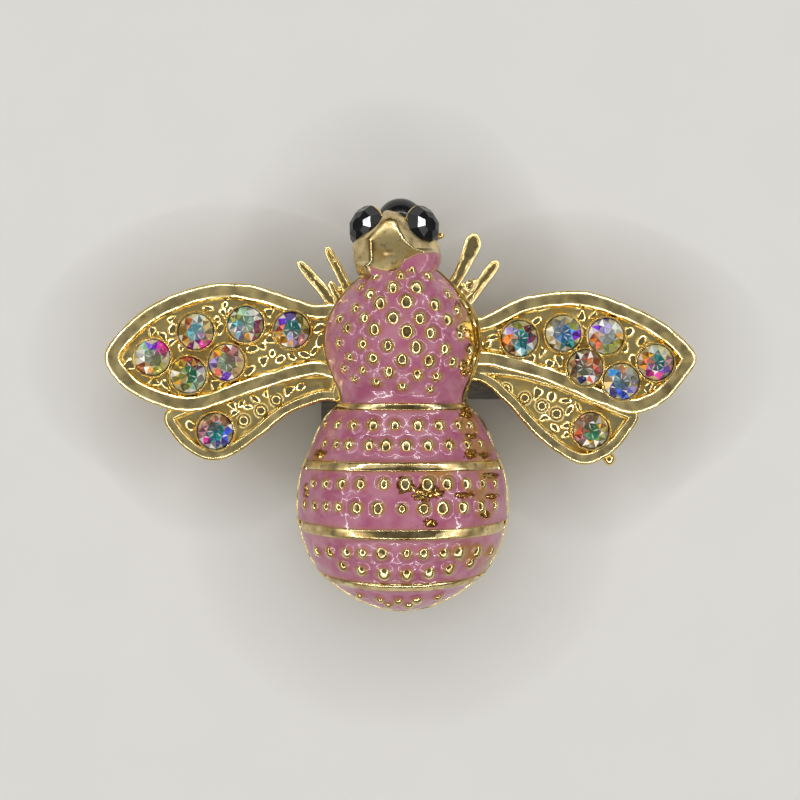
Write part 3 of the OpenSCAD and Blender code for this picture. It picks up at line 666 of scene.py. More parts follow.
# Body
def stud_rows(rows, start, length, width):
    """Centre, direction and radius of every stud"""
    made = []
    for place, rise, bow, shares, sizes in rows:
        for share, size in zip(shares, sizes):
            y = start - place * length
            x = share * width / 2
            side = x / body.half_width(np.array(y))
            y = np.array(y + length * (rise * share + bow * side * side))
            angle = body.angle_for(x + BODY_X, y)
            made.append((body.skin(angle, y), body.out(angle, y), size / 100))
    return made


STUDS = stud_rows(THORAX_STUDS, NECK_Y, THORAX_LEN, THORAX_W) + stud_rows(
    ABDOMEN_STUDS, WAIST_Y, ABDOMEN_LEN, ABDOMEN_W)


def edge_height(y):
    """Height of the bare metal edge round the foot of the body"""
    return 0.6 + 1.3 * step_up(WAIST_Y - 0.25, WAIST_Y + 0.2, y)


def worn_edge(y):
    """Extra height of bare metal along the right side, where the enamel has worn back"""
    return (1.8 + 0.5 * np.sin(3.1 * y)) * hump(y - 4.4, 2.3) + 0.3 * hump(y + 1.2, 0.9)


def line_place(rule, angle):
    """Places where a line over the body, given as a rule of x and height, crosses each angle"""
    y = rule(BODY_X + 0 * angle, 0 * angle)
    for _ in range(12):
        p = body.skin(angle, y)
        y = 0.5 * y + 0.5 * rule(p[..., 0], p[..., 2] - BACK_Z)
    return y


def band_rule(band, shift):
    """Rule of the line along the middle of a band, or beside it"""
    start = WAIST_Y - band[0] * ABDOMEN_LEN
    slope = (band[1] - band[0]) * ABDOMEN_LEN / body.height(np.array(start))
    return lambda x, z: start - slope * z + shift


def blots(points, places, rough, low, high):
    """How deep each point lies in the ragged ovals at places, from 0 to 1"""
    most = np.zeros(points.shape[:-1])
    for x, y, a, b in places:
        reach = np.hypot((points[..., 0] - x) / a, (points[..., 1] - y) / b)
        most = np.maximum(most, 1 - step_up(low, high, reach + rough))
    return most


def chipped(points):
    """How far the enamel is broken away at each point"""
    return blots(points, CHIPS, 0.45 * ripple(points, 0.28) + 0.3 * ripple(points, 0.12, 5.0), 0.8, 1.15)


def stained(points):
    """How far the metal shines through at each point"""
    return blots(points, STAINS, 0.35 * ripple(points, 0.6, 9.0), 0.5, 1.2)


def off_studs(points):
    """Distance from each point to the rim of the nearest stud"""
    near = np.full(points.shape[:-1], 9.0)
    for centre, out, radius in STUDS:
        v = points - centre
        drop = v @ out
        radial = np.sqrt(np.maximum((v * v).sum(-1) - drop**2, 0)) + np.maximum(np.abs(drop) - 0.5, 0)
        near = np.minimum(near, radial - radius)
    return near


# Depth of the metal under the enamel's surface, and height of the studs over that surface
CORE_DEPTH = 0.3
STUD_HEIGHT = 0.2
# Tangent of 25 degrees, the slope at which metal mirrors a lamp to the camera
LAMP_SLOPE = 0.466
# Rings of a stud: shares of its radius from foot to top, then the polish of three lower rings and of these
STUD_SHARES = np.array([1.0, 0.9, 0.82, 0.74, 0.66, 0.58, 0.5, 0.42, 0.3, 0.18, 0.06])
STUD_POLISH = [0.0, 0.0, 0.0, 0.1, 0.5, 0.9, 1.0, 1.0, 1.0, 0.9, 0.6, 0.35, 0.3, 0.3]


def body_core():
    """Metal under the enamel, with its bare foot, its studs and its bands"""
    work = Work()
    fine_y = np.linspace(TAIL_Y, NECK_Y, 3000)
    run = np.cumsum(np.hypot(np.gradient(fine_y), np.gradient(body.height(fine_y))))
    rows = int(run[-1] / (1.15 * SPACING))
    y = np.interp(np.linspace(run[0], run[-1], rows), run, fine_y)[:, None]
    angle = np.linspace(0, math.pi, BODY_ACROSS)[None, :]
    y, angle = np.broadcast_arrays(y, angle)
    skin = body.skin(angle, y)
    bare = 1 - step_up(edge_height(y) - 0.12, edge_height(y) + 0.02, skin[..., 2] - BACK_Z)
    broken = chipped(skin)
    # Deep under the enamel, near the surface where it is bare, and rough where the enamel broke away
    level = -CORE_DEPTH * (1 - bare) - 0.03 * bare
    level += broken * (0.17 + 0.16 * ripple(skin, 0.16, 2.0) + 0.1 * ripple(skin, 0.09, 4.0))
    points = body.at(angle, y, level)
    points[:, 0, 2] = BACK_Z
    points[:, -1, 2] = BACK_Z
    work.grid(points)
    across = points.shape[1]
    back = [
        [i * across, (i + 1) * across, (i + 2) * across - 1, (i + 1) * across - 1] for i in range(rows - 1)]
    work.join(back + [list(range(across)), list(range((rows - 1) * across, rows * across))])

    for centre, out, radius in STUDS:
        stud(work, centre, out, radius)
    section = HALF_BAND + [(0, HALF_BAND[-1][1])] + [(-s, z) for s, z in HALF_BAND[::-1]]
    for k, band in enumerate(BANDS):
        low = 0.42 if k == 0 else 0.3
        a = np.linspace(low, math.pi - low, 180)
        place = line_place(band_rule(band, 0), a)
        path = body.at(a, place, 0 * a)
        share = np.minimum(a - low, math.pi - low - a)
        taper = 0.35 + 0.65 * step_up(0, 0.5 if k == 0 else 0.12, share)
        wide = band[2] / 2 * taper * (1 + 0.08 * ripple(path, 1.1, 1.0))
        shine = 1.5 * hump(path[:, 0] - band[3], 2.7) + 0.7 * ripple(path, 0.7, 4.0) - 0.1
        swept(work, path, body.out(a, place), wide, section, 1, np.clip(shine, 0, 1))
    bead(work)
    worn = np.zeros(work.count)
    worn[:rows * across] = broken.reshape(-1) * 0.75
    piece(work, "body_core", [GOLD, LACQUERED], ["casting"], values={"worn": worn})


def stud(work, centre, out, radius):
    """Domed stud, flatter in its middle where it is large, leaning a little the way the mould was pulled"""
    loop = np.interp(radius, [0.2, 0.3, 0.4], [0.42, 0.52, 0.74]) * random.uniform(0.92, 1.08)
    power = np.interp(radius, [0.25, 0.4], [1.2, 2.2])
    # The dome has the slope that shows a lamp where the share of its radius is that of the bright loop
    fall = LAMP_SLOPE * radius * loop**-power * STUD_SHARES ** (power + 1) / (power + 1)
    profile = [(radius * 1.15, -0.33), (radius * 1.08, -0.12), (radius * 1.03, 0.0)]
    profile += list(zip(radius * STUD_SHARES, STUD_HEIGHT - fall))
    phase, tall = random.uniform(0, ANY_TURN), random.uniform(0.04, 0.14)

    def shape(turn):
        return 1 - tall * np.cos(2 * turn) + 0.03 * np.sin(3 * turn + phase)
    turned(work, centre, unit(out + 0.3 * UP), profile, 20, shape, 1, STUD_POLISH)


# Half the width and height of the bead
BEAD_HALF = 0.075


def bead(work):
    """Thin raised line that runs round the foot of the enamel"""
    y = np.linspace(NECK_Y, TAIL_Y, 420)
    right = body.angle_up(edge_height(y), y)
    end = np.linspace(right[-1], math.pi - right[-1], 12)[1:-1]
    angle = np.concatenate([right, end, (math.pi - right)[::-1]])
    place = np.concatenate([y, np.full(len(end), TAIL_Y), y[::-1]])
    path = body.at(angle, place, np.full(len(angle), -0.05))
    out = body.out(angle, place)
    thick = BEAD_HALF * (1 + 0.25 * ripple(path, 0.8, 6.0))
    swept(work, path, out, thick, [(math.cos(t), BEAD_HALF * math.sin(t)) for t in circle(8)])


def pool(name, replaced, top, under, thin):
    """Piece of enamel between two grids, the first one outside, with how thin it lies at each point"""
    work = Work()
    rows, across = top.shape[:2]
    work.grid(top)
    work.grid(under[::-1])
    n = rows * across
    last = (rows - 1) * across
    ring = list(range(across)) + [i * across + across - 1 for i in range(1, rows)]
    ring += [last + j for j in range(across - 2, -1, -1)] + [i * across for i in range(rows - 2, 0, -1)]
    low = [n + (rows - 1 - i // across) * across + i % across for i in ring]
    m = len(ring)
    work.join([[ring[k], low[k], low[(k + 1) % m], ring[(k + 1) % m]] for k in range(m)])
    thin = np.clip(thin, 0, 1)
    values = {"thin": np.concatenate([thin.reshape(-1), thin[::-1].reshape(-1)])}
    piece(work, name, [PINK], [replaced], values=values)


def enamel(name, replaced, front, rear, rows, across):
    """Pool of enamel between two lines over the body, drawn up a little at every edge of metal"""
    s = np.linspace(0, 1, across)[None, :]
    t = np.linspace(0, 1, rows)[:, None]
    angle = np.broadcast_to(s * math.pi, (rows, across))
    for _ in range(6):
        y = (1 - t) * line_place(front, angle) + t * line_place(rear, angle)
        right = body.angle_up(edge_height(y) + worn_edge(y) - 0.03, y)
        left = math.pi - body.angle_up(edge_height(y) - 0.03, y)
        angle = right + s * (left - right)
    skin = body.skin(angle, y)
    near = off_studs(skin)
    run = np.cumsum(np.linalg.norm(np.diff(skin, axis=0, prepend=skin[:1]), axis=-1), axis=0)
    to_band = np.minimum(run, run[-1] - run) - 0.12
    across_run = np.cumsum(np.linalg.norm(np.diff(skin, axis=1, prepend=skin[:, :1]), axis=-1), axis=1)
    to_edge = np.minimum(across_run, across_run[:, -1:] - across_run)
    # Uneven, drawn up to studs and bands with a hollow round each stud, lower at the foot, gone in the chips
    level = -0.035 + 0.018 * ripple(skin, 1.1) + 0.01 * ripple(skin, 0.45, 3.0)
    level += 0.11 * fade(near, 0.1) - 0.03 * hump(near - 0.34, 0.14)
    level += 0.07 * fade(to_band, 0.1)
    level -= 0.06 * fade(to_edge, 0.16)
    broken = chipped(skin)
    level -= 0.5 * step_up(0.25, 0.9, broken)
    edge = np.minimum(to_band + 0.12, to_edge)
    level = np.where(edge < 0.01, -0.2, level)
    # Thin at the same places, and where it is stained
    thin = 1.0 * fade(near - 0.03, 0.07) + 0.65 * fade(to_band, 0.09)
    thin += 0.5 * fade(to_edge, 0.1) + 0.75 * stained(skin) + 0.8 * step_up(0.02, 0.5, broken)
    pool(name, replaced, body.at(angle, y, level), body.at(angle, y, np.minimum(level, -0.22) - 0.06), thin)


# Front line of the thorax enamel, which runs further forwards on the right. Columns: across, along
THORAX_FRONT = [
    (-2.6, 7.9), (-1.76, 8.35), (-0.8, 8.1), (-0.2, 8.2), (0.2, 8.75), (0.85, 8.9), (1.4, 8.93), (2.2, 8.9),
    (2.7, 8.5)]


def enamel_fields():
    """Enamel of the thorax and of the four fields of the abdomen, from band to band"""
    enamel(
        "thorax_pink_enamel", "thorax_enamel", lambda x, z: np.interp(x, *np.array(THORAX_FRONT).T),
        band_rule(BANDS[0], 0.1), 130, 170)
    for k, rows in enumerate((44, 48, 50, 50)):
        rear = band_rule(BANDS[k + 1], 0.2) if k < 3 else (lambda x, z: TAIL_Y + 0.02 + 0 * x)
        enamel(
            "abdomen_pink_enamel_" + str(k + 1), "abdomen_enamel_" + str(k + 1),
            band_rule(BANDS[k], -0.14 if k == 0 else -0.2), rear, rows, 190)


# Wings
def fore_at(side, p):
    """Place on a forewing, from shares of its reach and width"""
    return side * p[0] * WING_SPAN / 2, WAIST_Y - FOREWING_SET + p[1] * FOREWING_W


def hind_at(side, p):
    """Place on a hindwing, from shares of its reach and width"""
    return side * p[0] * HIND_REACH, WAIST_Y + HIND_SET - p[1] * HIND_W


def seats():
    """Centres of the stones: six of the left forewing, its hind one, then the same on the right"""
    made = []
    for side, anchor, steps, hind in (
            (-1, LEFT_ANCHOR, LEFT_STONES, LEFT_HIND_SEAT), (1, RIGHT_ANCHOR, RIGHT_STONES, RIGHT_HIND_SEAT)):
        ax, ay = fore_at(side, anchor)
        made += [(ax + side * STONE_PITCH * i, ay + STONE_PITCH * j, 0.0) for i, j in steps]
        made.append((*hind_at(side, hind), HIND_DROP))
    return made


SEATS = seats()
# Section of a wing's rim as inset and height. Both edges of its flat top are bevelled, to catch the light
WING_RIM = [
    (0.0, 0.0), (0.0, 0.6), (0.02, 1.0), (0.05, 1.17), (0.08, 1.235), (0.13, 1.262), (0.18, 1.286),
    (0.23, 1.308), (0.28, 1.322), (0.35, 1.327), (0.52, 1.32), (0.68, 1.325), (0.75, 1.33), (0.79, 1.325),
    (0.83, 1.308), (0.87, 1.288), (0.91, 1.268), (0.94, 1.2), (0.96, 1.08), (1.0, 0.97), (1.05, 0.91)]
# Side and top of a pebble. Columns: how far it is cut in from its outline, share of what is left, height
PEBBLE_RINGS = [
    (-0.09, 1, -0.1), (-0.05, 1, 0.0), (-0.02, 1, 0.09), (0.0, 1, 0.14), (0.03, 1, 0.156), (0.06, 1, 0.171),
    (0.09, 1, 0.184), (0.115, 1, 0.189), (0.12, 0.7, 0.189)]


def cup(work, at, drop):
    """Cup that holds a stone, with a thin turned-over lip"""
    z = WING_Z + WING_T - drop + CUP_H
    r = STONE_D / 2
    profile = [
        (r + 0.22, -CUP_H - 0.1), (r + 0.2, -0.3), (r + 0.16, -0.08), (r + 0.11, 0.0), (r + 0.07, 0.02),
        (r + 0.035, 0.0), (r + 0.025, -0.06), (r + 0.02, -0.2), (0.2, -0.9)]
    turned(work, np.array([at[0], at[1], z]), UP, profile, 40)


def pebble(work, at, long, wide, heading, z):
    """Small flat-topped island on the sunk floor, the larger ones with a dip in their top"""
    phase = random.uniform(0, ANY_TURN)
    lobes = random.choice((2, 3))
    c, s = math.cos(math.radians(heading)), math.sin(math.radians(heading))
    turn = circle(26)
    lobe = 1 + 0.13 * np.sin(lobes * turn + phase)
    middle = 0.188 if min(long, wide) > 0.48 else 0.2
    rings = []
    for cut, share, h in PEBBLE_RINGS + [(0.12, 0.4, middle - 0.01), (0.12, 0.1, middle - 0.012)]:
        x = np.cos(turn) * lobe * (long / 2 - cut) * share
        y = np.sin(turn) * lobe * max(wide / 2 - cut, 0.03) * share
        rings.append(np.column_stack([
            at[0] + x * c - y * s, at[1] + x * s + y * c, np.full(len(turn), z + h)]))
    work.tube(np.array(rings))


def ringed_stud(work, at, d, z):
    """Doughnut-like stud with a pit in its middle"""
    profile = [(d / 2 * share, h) for share, h in (
        (1.1, -0.1), (1.03, 0.0), (0.98, 0.05), (0.88, 0.07), (0.78, 0.089), (0.7, 0.096), (0.64, 0.1),
        (0.6, 0.13), (0.55, 0.155), (0.46, 0.173), (0.38, 0.186), (0.3, 0.192), (0.18, 0.19), (0.05, 0.186))]
    turned(work, np.array([at[0], at[1], z]), UP, profile, 26)


def crumbs_between(work, loop, taken, z, seed):
    """Fills what is left of a wing's floor with small islands, clear of the places already taken"""
    draw = random.Random(seed)
    low, high = loop.min(0), loop.max(0)
    for _ in range(1500):
        at = np.array([draw.uniform(low[0], high[0]), draw.uniform(low[1], high[1])])
        size = draw.uniform(0.4, 0.65)
        room = min(math.hypot(at[0] - x, at[1] - y) - r for x, y, r in taken)
        to_rim = np.linalg.norm(loop - at, axis=1).min()
        if room < size * 0.5 or to_rim < size * 0.5 or not inside(loop, at[None])[0]:
            continue
        taken.append((at[0], at[1], size * 0.5))
        pebble(work, at, size * draw.uniform(1.0, 1.5), size * 0.85, draw.uniform(0, 180), z)


def wings():
    """Four rimmed wings with a cup for each stone, pebbles on the fore ones and rings on the hind ones"""
    for name, side, place, outline, marks, stones in (
            ("left_forewing", -1, fore_at, LEFT_FOREWING, LEFT_PEBBLES, SEATS[0:6]),
            ("right_forewing", 1, fore_at, RIGHT_FOREWING, RIGHT_PEBBLES, SEATS[7:13]),
            ("left_hindwing", -1, hind_at, LEFT_HINDWING, LEFT_RINGS, SEATS[6:7]),
            ("right_hindwing", 1, hind_at, RIGHT_HINDWING, RIGHT_RINGS, SEATS[13:14])):
        fore = place is fore_at
        drop, rim_share, margin, seed = (0.0, 1.0, 1.1, 5) if fore else (HIND_DROP, 0.75, 0.9, 9)
        floor = WING_Z + WING_T - drop
        work = Work()
        loop = smooth_loop([place(side, p) for p in outline], SPACING)
        plate(work, loop, WING_Z - drop, [(d * rim_share, z) for d, z in WING_RIM], WING_T)
        taken = [(x, y, STONE_D / 2 + 0.2) for x, y, _ in stones]
        for mark in marks:
            at = place(side, mark)
            if fore:
                pebble(work, at, mark[2] * PEBBLE_GROWTH, mark[3] * PEBBLE_GROWTH, mark[4], floor)
                taken.append((*at, (mark[2] + mark[3]) * PEBBLE_ROOM))
            else:
                ringed_stud(work, at, mark[2], floor)
                taken.append((*at, mark[2] / 2))
        crumbs_between(work, inset(loop, margin), taken, floor, side + seed)
        for at in stones:
            cup(work, at, drop)
        piece(work, name, [GOLD, CAST], ["casting"])


def cut_stone(centre, out, d, turn0):
    """Facets of a brilliant, each a kind, a place round the stone and its points.

    Its table is in wedges with a star of narrow spokes. Round it lie eight stars, eight kites and sixteen
    belt facets, then the girdle, and two rings behind it.
    """
    side, fore = frame_of(out)
    r, h, step = d / 2, 0.25 * d, math.pi / 4

    def at(radius, k, z):
        angle = k * step + turn0
        return centre + out * z + (side * math.cos(angle) + fore * math.sin(angle)) * radius
    facets = []

    def facet(kind, k, *points):
        facets.append((kind, k * step + turn0, points))
    hub_r, spoke_r, table_r, star_r, back_r, tip_r = 0.12 * r, 0.3 * r, 0.5 * r, 0.74 * r, 0.56 * r, 0.1 * r
    star_z = h * (r - star_r * math.cos(step / 2)) / (r - table_r)
    low, deep, tip = -0.03 * d, -0.21 * d, -0.38 * d
    facet("culet", 0, *[at(hub_r, k, h) for k in range(8)])
    for k in range(8):
        hub, corner, next_corner = at(hub_r, k, h), at(table_r, k, h), at(table_r, k + 1, h)
        star, last_star, point = at(star_r, k + 0.5, star_z), at(star_r, k - 0.5, star_z), at(r, k, 0)
        facet("wedge", k, hub, at(spoke_r, k - 0.13, h), corner, at(spoke_r, k + 0.13, h))
        facet(
            "table", k + 0.5, hub, at(spoke_r, k + 0.13, h), corner, next_corner, at(spoke_r, k + 0.87, h),
            at(hub_r, k + 1, h))
        facet("star", k + 0.5, corner, star, next_corner)
        facet("kite", k, corner, last_star, point, star)
        facet("belt", k + 0.25, star, point, at(r, k + 0.5, 0))
        facet("belt", k + 0.75, star, at(r, k + 0.5, 0), at(r, k + 1, 0))
        for j in (k, k + 0.5):
            facet("girdle", j + 0.25, at(r, j, 0), at(r, j, low), at(r, j + 0.5, low), at(r, j + 0.5, 0))
        under, behind, last_behind = at(r, k, low), at(back_r, k + 0.5, deep), at(back_r, k - 0.5, deep)
        facet("back", k, under, last_behind, behind)
        facet("back", k, under, behind, at(r, k + 0.5, low))
        facet("back", k, at(r, k + 0.5, low), behind, at(r, k + 1, low))
        facet("back", k, behind, last_behind, at(tip_r, k, tip))
        facet("back", k, behind, at(tip_r, k, tip), at(tip_r, k + 1, tip))
    facet("back", 0, *[at(tip_r, -k, tip) for k in range(8)])
    return facets


def welded(work, polygons):
    """Adds flat polygons whose shared corners become one point"""
    known, points, faces = {}, [], []
    for polygon in polygons:
        face = []
        for p in polygon:
            key = tuple(np.round(p, 5))
            if key not in known:
                known[key] = len(points)
                points.append(p)
            face.append(known[key])
        faces.append(face)
    work.add(points, faces)


def shaded(colour, other, share, bright):
    """Colour with a share of another mixed in, made brighter or darker as painted light and shade"""
    return [max(0.0, (a * (1 - share) + b * share) * bright) for a, b in zip(colour[:3], other[:3])] + [1.0]


# Colours of the facets round a stone's table. Columns: share of white ones, which are painted glints, the
# next colour and the share up to which it is taken, how much of either is mixed in, and the brightnesses that
# are drawn from, painted light and shade
CROWN_MIXES = {
    "kite": (0.1, "beside", 0.25, 0.85, (0.35, 0.8, 1.2, 1.7)),
    "star": (0.12, "under", 0.3, 0.85, (0.3, 0.7, 1.25, 1.8)),
    "belt": (0.2, "clear", 0.7, 0.9, (0.4, 0.8, 1.1, 1.5))}


def foiled_stone(name, centre, out, d, turn0, chart):
    """Wing stone whose facets, some of them split, each show a hue of the coat from the stone's chart, with
    painted light and shade in their brightness and painted glints in the white ones
    """
    under, *crown = [hue(GLASS_HUES[word]) for word in chart.split()]
    clear, white = hue(GLASS_HUES["clear"]), hue(GLASS_HUES["white"])
    polygons, tones = [], []
    lean, painted_light_turn = random.uniform(0, ANY_TURN), random.uniform(0, ANY_TURN)
    # Every facet's tone is made brighter or darker, at random or by its kind: painted light and shade
    for kind, angle, points in cut_stone(centre, out, d, turn0):
        sector = round((math.pi / 2 - angle) / (math.pi / 4))
        near = crown[sector % 8]
        others = {"beside": crown[(sector + random.choice((-1, 1))) % 8], "under": under, "clear": clear}
        splits = [points]
        if kind == "kite":
            splits = [(points[0], points[1], points[2]), (points[0], points[2], points[3])]
        elif kind == "star":
            share = random.uniform(0.3, 0.7)
            middle = 0.6 * (share * points[0] + (1 - share) * points[2]) + 0.4 * points[1]
            splits = [(middle, points[i], points[(i + 1) % 3]) for i in range(3)]
        for split in splits:
            polygons.append(split)
            flip = random.random()
            if kind in CROWN_MIXES:
                # Crown facets: white ones are painted glints, and the drawn brightness is painted light and
                # shade
                painted_glint_share, word, word_share, share, lights = CROWN_MIXES[kind]
                other = white if flip < painted_glint_share else others[word] if flip < word_share else near
                tone = shaded(near, other, share, random.choice(lights))
            elif kind == "table":
                # Table wedges: painted light, brighter towards a random side of the table
                share = 0.5 + 0.5 * math.cos(angle - lean)
                painted_light_side = 0.5 + 0.5 * math.cos(angle - painted_light_turn)
                tone = shaded(under, near, 0.65 * share * share, 0.45 + 1.1 * flip * painted_light_side)
            elif kind == "wedge":
                # Spokes: some near white as painted reflections, the others darkened as painted shade
                tone = shaded(under, white, 0.8, 1.2) if flip < 0.45 else shaded(under, white, 0.0, 0.45)
            elif kind == "culet":
                tone = shaded(under, near, 0.2, 0.5)
            else:
                tone = shaded(clear, near, 0.3, 0.8)
            tones.append(tone)
    work = Work()
    welded(work, polygons)
    piece(work, "cut_" + name, [GLASS], [name], smooth=False, tones=tones)


def wing_stones():
    """Fourteen stones in their cups, each tipped and turned a little at random"""
    names = [
        side + word for side in ("left_", "right_")
        for word in ["stone_" + str(i) for i in range(1, 7)] + ["hind_stone"]]
    for name, (x, y, drop), chart in zip(names, SEATS, STONE_COLOURS):
        tip = np.array([random.gauss(0, 0.04), random.gauss(0, 0.04), 1.0])
        centre = np.array([x, y, WING_Z + WING_T - drop + CUP_H])
        foiled_stone(name, centre, unit(tip), STONE_D, random.uniform(0, 0.7), chart)


# Head
# Edges of the flat wedge on the head. Columns: along, left edge, right edge
HEAD_WEDGE = [
    (7.58, -2.67, 3.1), (8.2, -2.22, 2.7), (8.67, -1.76, 2.5), (9.26, -1.76, 1.4), (9.48, -1.76, 0.85),
    (9.94, -1.78, 0.3), (10.09, -1.92, 0.18), (10.55, -1.68, -0.08), (11.27, -1.24, -0.4)]
WEDGE_END = 11.27
PIT_PLACE = (-0.85, 9.09)
# Height of the wedge. Columns: along, height over the floor
HEAD_ROOF = [(7.3, 6.1), (8.3, 6.5), (9.3, 6.7), (10.3, 6.65), (11.3, 6.4)]
# Line up to which the enamel ran over the head. Columns: across, along
RUN_FRONT = [
    (-1.9, 8.35), (-1.2, 8.15), (-0.5, 8.1), (-0.1, 8.25), (0.2, 8.75), (0.8, 8.98), (1.4, 9.2), (2.6, 9.3)]
EYE_Y = 10.8
EYE_Z = BACK_Z + 2.5
EYE_OUT = 1.75
FACE_PLACE = (0.03, 11.1, BACK_Z + 1.7)


def eye_frame(side):
    """Centre of an eye's girdle and the way it looks"""
    pitch, lean = math.radians(-16), math.radians(side * 42)
    out = np.array([math.sin(lean), -math.sin(pitch) * math.cos(lean), math.cos(pitch) * math.cos(lean)])
    return np.array([HEAD_X + side * EYE_OUT, EYE_Y, EYE_Z]), unit(out)


# Lamps stand in a ring round the camera's line of sight, tilted from it by one angle. Distance in metres
LAMPS = 12
LAMP_TILT = math.radians(50)
LAMP_DISTANCE = 0.5
CAMERA_PLACE = (0.0, 0.303, 424.75)


def lamp_place(k):
    """Place of a lamp in metres"""
    turn = 2 * math.pi * (k + 0.5) / LAMPS
    low = math.sin(LAMP_TILT)
    return LAMP_DISTANCE * np.array([low * math.cos(turn), low * math.sin(turn), math.cos(LAMP_TILT)])


def ramp(value, soft):
    """Zero below zero, value above it, rounded over soft"""
    return 0.5 * (value + np.sqrt(value * value + soft * soft))


def head_skin():
    """Grid over the head, a half-round form whose top is cut to a flat wedge, and its polish"""
    y = np.linspace(HEAD[0][0], HEAD[-1][0], HEAD_ROWS)[:, None]
    angle = np.linspace(0, math.pi, HEAD_ACROSS)[None, :]
    y, angle = np.broadcast_arrays(y, angle)
    points = head.skin(angle, y)
    points[..., 0] += 0.3 * step_up(0, 2, points[..., 0]) * hump(y - 8.9, 1.2)
    along, left, right = np.array(HEAD_WEDGE).T
    x, z = points[..., 0], points[..., 2]
    roof = curve_through(*np.array(HEAD_ROOF).T, y)
    edge = 0.03 * ripple(points, 0.5, 3.0)
    past_left = np.interp(y, along, left) - x + edge
    past_right = x - np.interp(y, along, right) + edge
    roof = roof + 0.04 * ripple(points, 0.9) - 1.1 * ramp(past_left, 0.1)
    roof = roof - 0.95 * ramp(past_right, 0.1) - 1.6 * ramp(y - WEDGE_END, 0.08)
    pit = hump(np.hypot(x - PIT_PLACE[0], y - PIT_PLACE[1]), 0.07)
    cut = 0.5 * (z + roof - np.sqrt((z - roof) ** 2 + 0.04**2)) - 0.12 * pit
    points[..., 2] = np.maximum(cut, np.minimum(z, BACK_Z + 1.2))
    points[:, 0, 2] = BACK_Z
    points[:, -1, 2] = BACK_Z
    nearest = np.minimum(np.minimum(np.abs(past_left), np.abs(past_right)), np.abs(y - WEDGE_END))
    return points, hump(nearest, 0.16)


def run_over(points):
    """Enamel that ran from the thorax onto the right shoulder of the head"""
    cols, rows = slice(12, 105), slice(8, 95)
    skin = points[rows, cols]
    out = unit(np.cross(np.gradient(skin, axis=1), np.gradient(skin, axis=0)))
    out *= np.sign(out[..., 2:3] + 1e-9)
    x, y = skin[..., 0], skin[..., 1]
    front = np.interp(x, *np.array(RUN_FRONT).T)
    cover = np.minimum(front + 0.12 * ripple(skin, 0.8) - y, (x + 2.2) * 2)
    level = 0.09 * (1 - fade(cover, 0.12)) - 0.12 * step_up(0.0, 0.12, -cover)
    top = skin + out * level[..., None]
    under = skin + out * (np.minimum(level, 0) - 0.1)[..., None]
    pool("shoulder_pink_enamel", "thorax_enamel", top, under, 0.9 * fade(cover, 0.08))


def bee_head():
    """Gold wedge between the eyes, with a cup behind each eye and a prong beside the right one"""
    work = Work()
    points, polish = head_skin()
    run_over(points)
    work.tube(points, 1, polish)
    r = EYE_D / 2
    for side in (-1, 1):
        centre, out = eye_frame(side)
        turned(work, centre, out, [
            (r * 0.55, -1.5), (r * 0.92, -1.3), (r * 0.98, -0.3), (r * 1.0, -0.09), (r * 0.985, -0.04),
            (r * 0.93, -0.05), (r * 0.5, -0.6)], 40)
    side, fore = frame_of(out)
    root = centre - fore * 0.5 + side * 1.3 - out * 0.8
    turned(work, root, unit(side * 0.22 + out), [
        (0.2, 0), (0.21, 0.4), (0.2, 0.7), (0.17, 0.85), (0.11, 0.95), (0.03, 0.98)], 14)
    piece(work, "bee_head", [GOLD, LACQUERED], ["casting"])


def bee_face():
    """Smooth black dome under the front of the head"""
    work = Work()
    turned(work, np.array(FACE_PLACE), UP, ball(FACE_R, 0.06, 30), 48)
    piece(work, "bee_face", [BLACK], ["face_enamel"])


def jet_eye(side, name):
    """Domed black stone in three rings of facets, one of them turned to flash a lamp to the camera"""
    centre, out = eye_frame(side)
    to_lamp = unit(lamp_place(4 if side < 0 else 1) / MM - centre)
    to_camera = unit(np.array(CAMERA_PLACE) - centre)
    wanted = unit(to_lamp + to_camera)
    side_way, fore = frame_of(out)
    turn0 = math.atan2(wanted @ fore, wanted @ side_way)
    lean = math.acos(wanted @ out)
    r = EYE_D / 2
    rings = [(0.34 * r, 0.5 * r)]
    for radius, slope in ((0.68 * r, lean), (0.9 * r, lean + 0.45)):
        last_r, last_z = rings[-1]
        rings.append((radius, last_z - (radius - last_r) * math.cos(math.pi / 8) * math.tan(slope)))
    rings += [(r, 0.0), (r, -0.03 * EYE_D), (0.56 * r, -0.21 * EYE_D), (0.08 * r, -0.38 * EYE_D)]
    work = Work()
    turned(work, centre, out, rings, 8, start=turn0 + math.pi / 8)
    piece(work, "cut_" + name, [JET], [name], smooth=False)


# Legs. Columns: across and along in mm and half width, from the root to the tip
LEGS = {
    "left_legs": [
        [(-4.1, 6.2, 0.34), (-4.7, 7.0, 0.34), (-5.3, 7.7, 0.34), (-5.8, 8.3, 0.31), (-6.1, 8.62, 0.22)],
        [(-3.0, 6.6, 0.34), (-3.35, 7.4, 0.32), (-3.8, 8.3, 0.3), (-4.2, 9.05, 0.29), (-4.42, 9.5, 0.2)],
        [(-3.7, 6.3, 0.24), (-3.95, 6.9, 0.24), (-4.2, 7.4, 0.2)]],
    "right_legs": [
        [(2.9, 6.8, 0.34), (3.5, 7.75, 0.36), (4.0, 8.75, 0.42), (4.38, 9.65, 0.52), (4.48, 10.15, 0.42)],
        [(3.8, 6.0, 0.34), (4.4, 6.7, 0.34), (5.0, 7.5, 0.34), (5.55, 8.25, 0.35), (5.82, 8.6, 0.28)]]}
# Lumps of casting skin at the legs' roots. Columns: place, size
LEG_CRUMBS = {
    "left_legs": [((-4.2, 6.5, 3.35), 0.4), ((-3.7, 6.9, 3.35), 0.35)],
    "right_legs": [((4.05, 6.9, 3.45), 0.55), ((4.5, 7.25, 3.4), 0.4), ((3.6, 7.0, 3.4), 0.35)]}
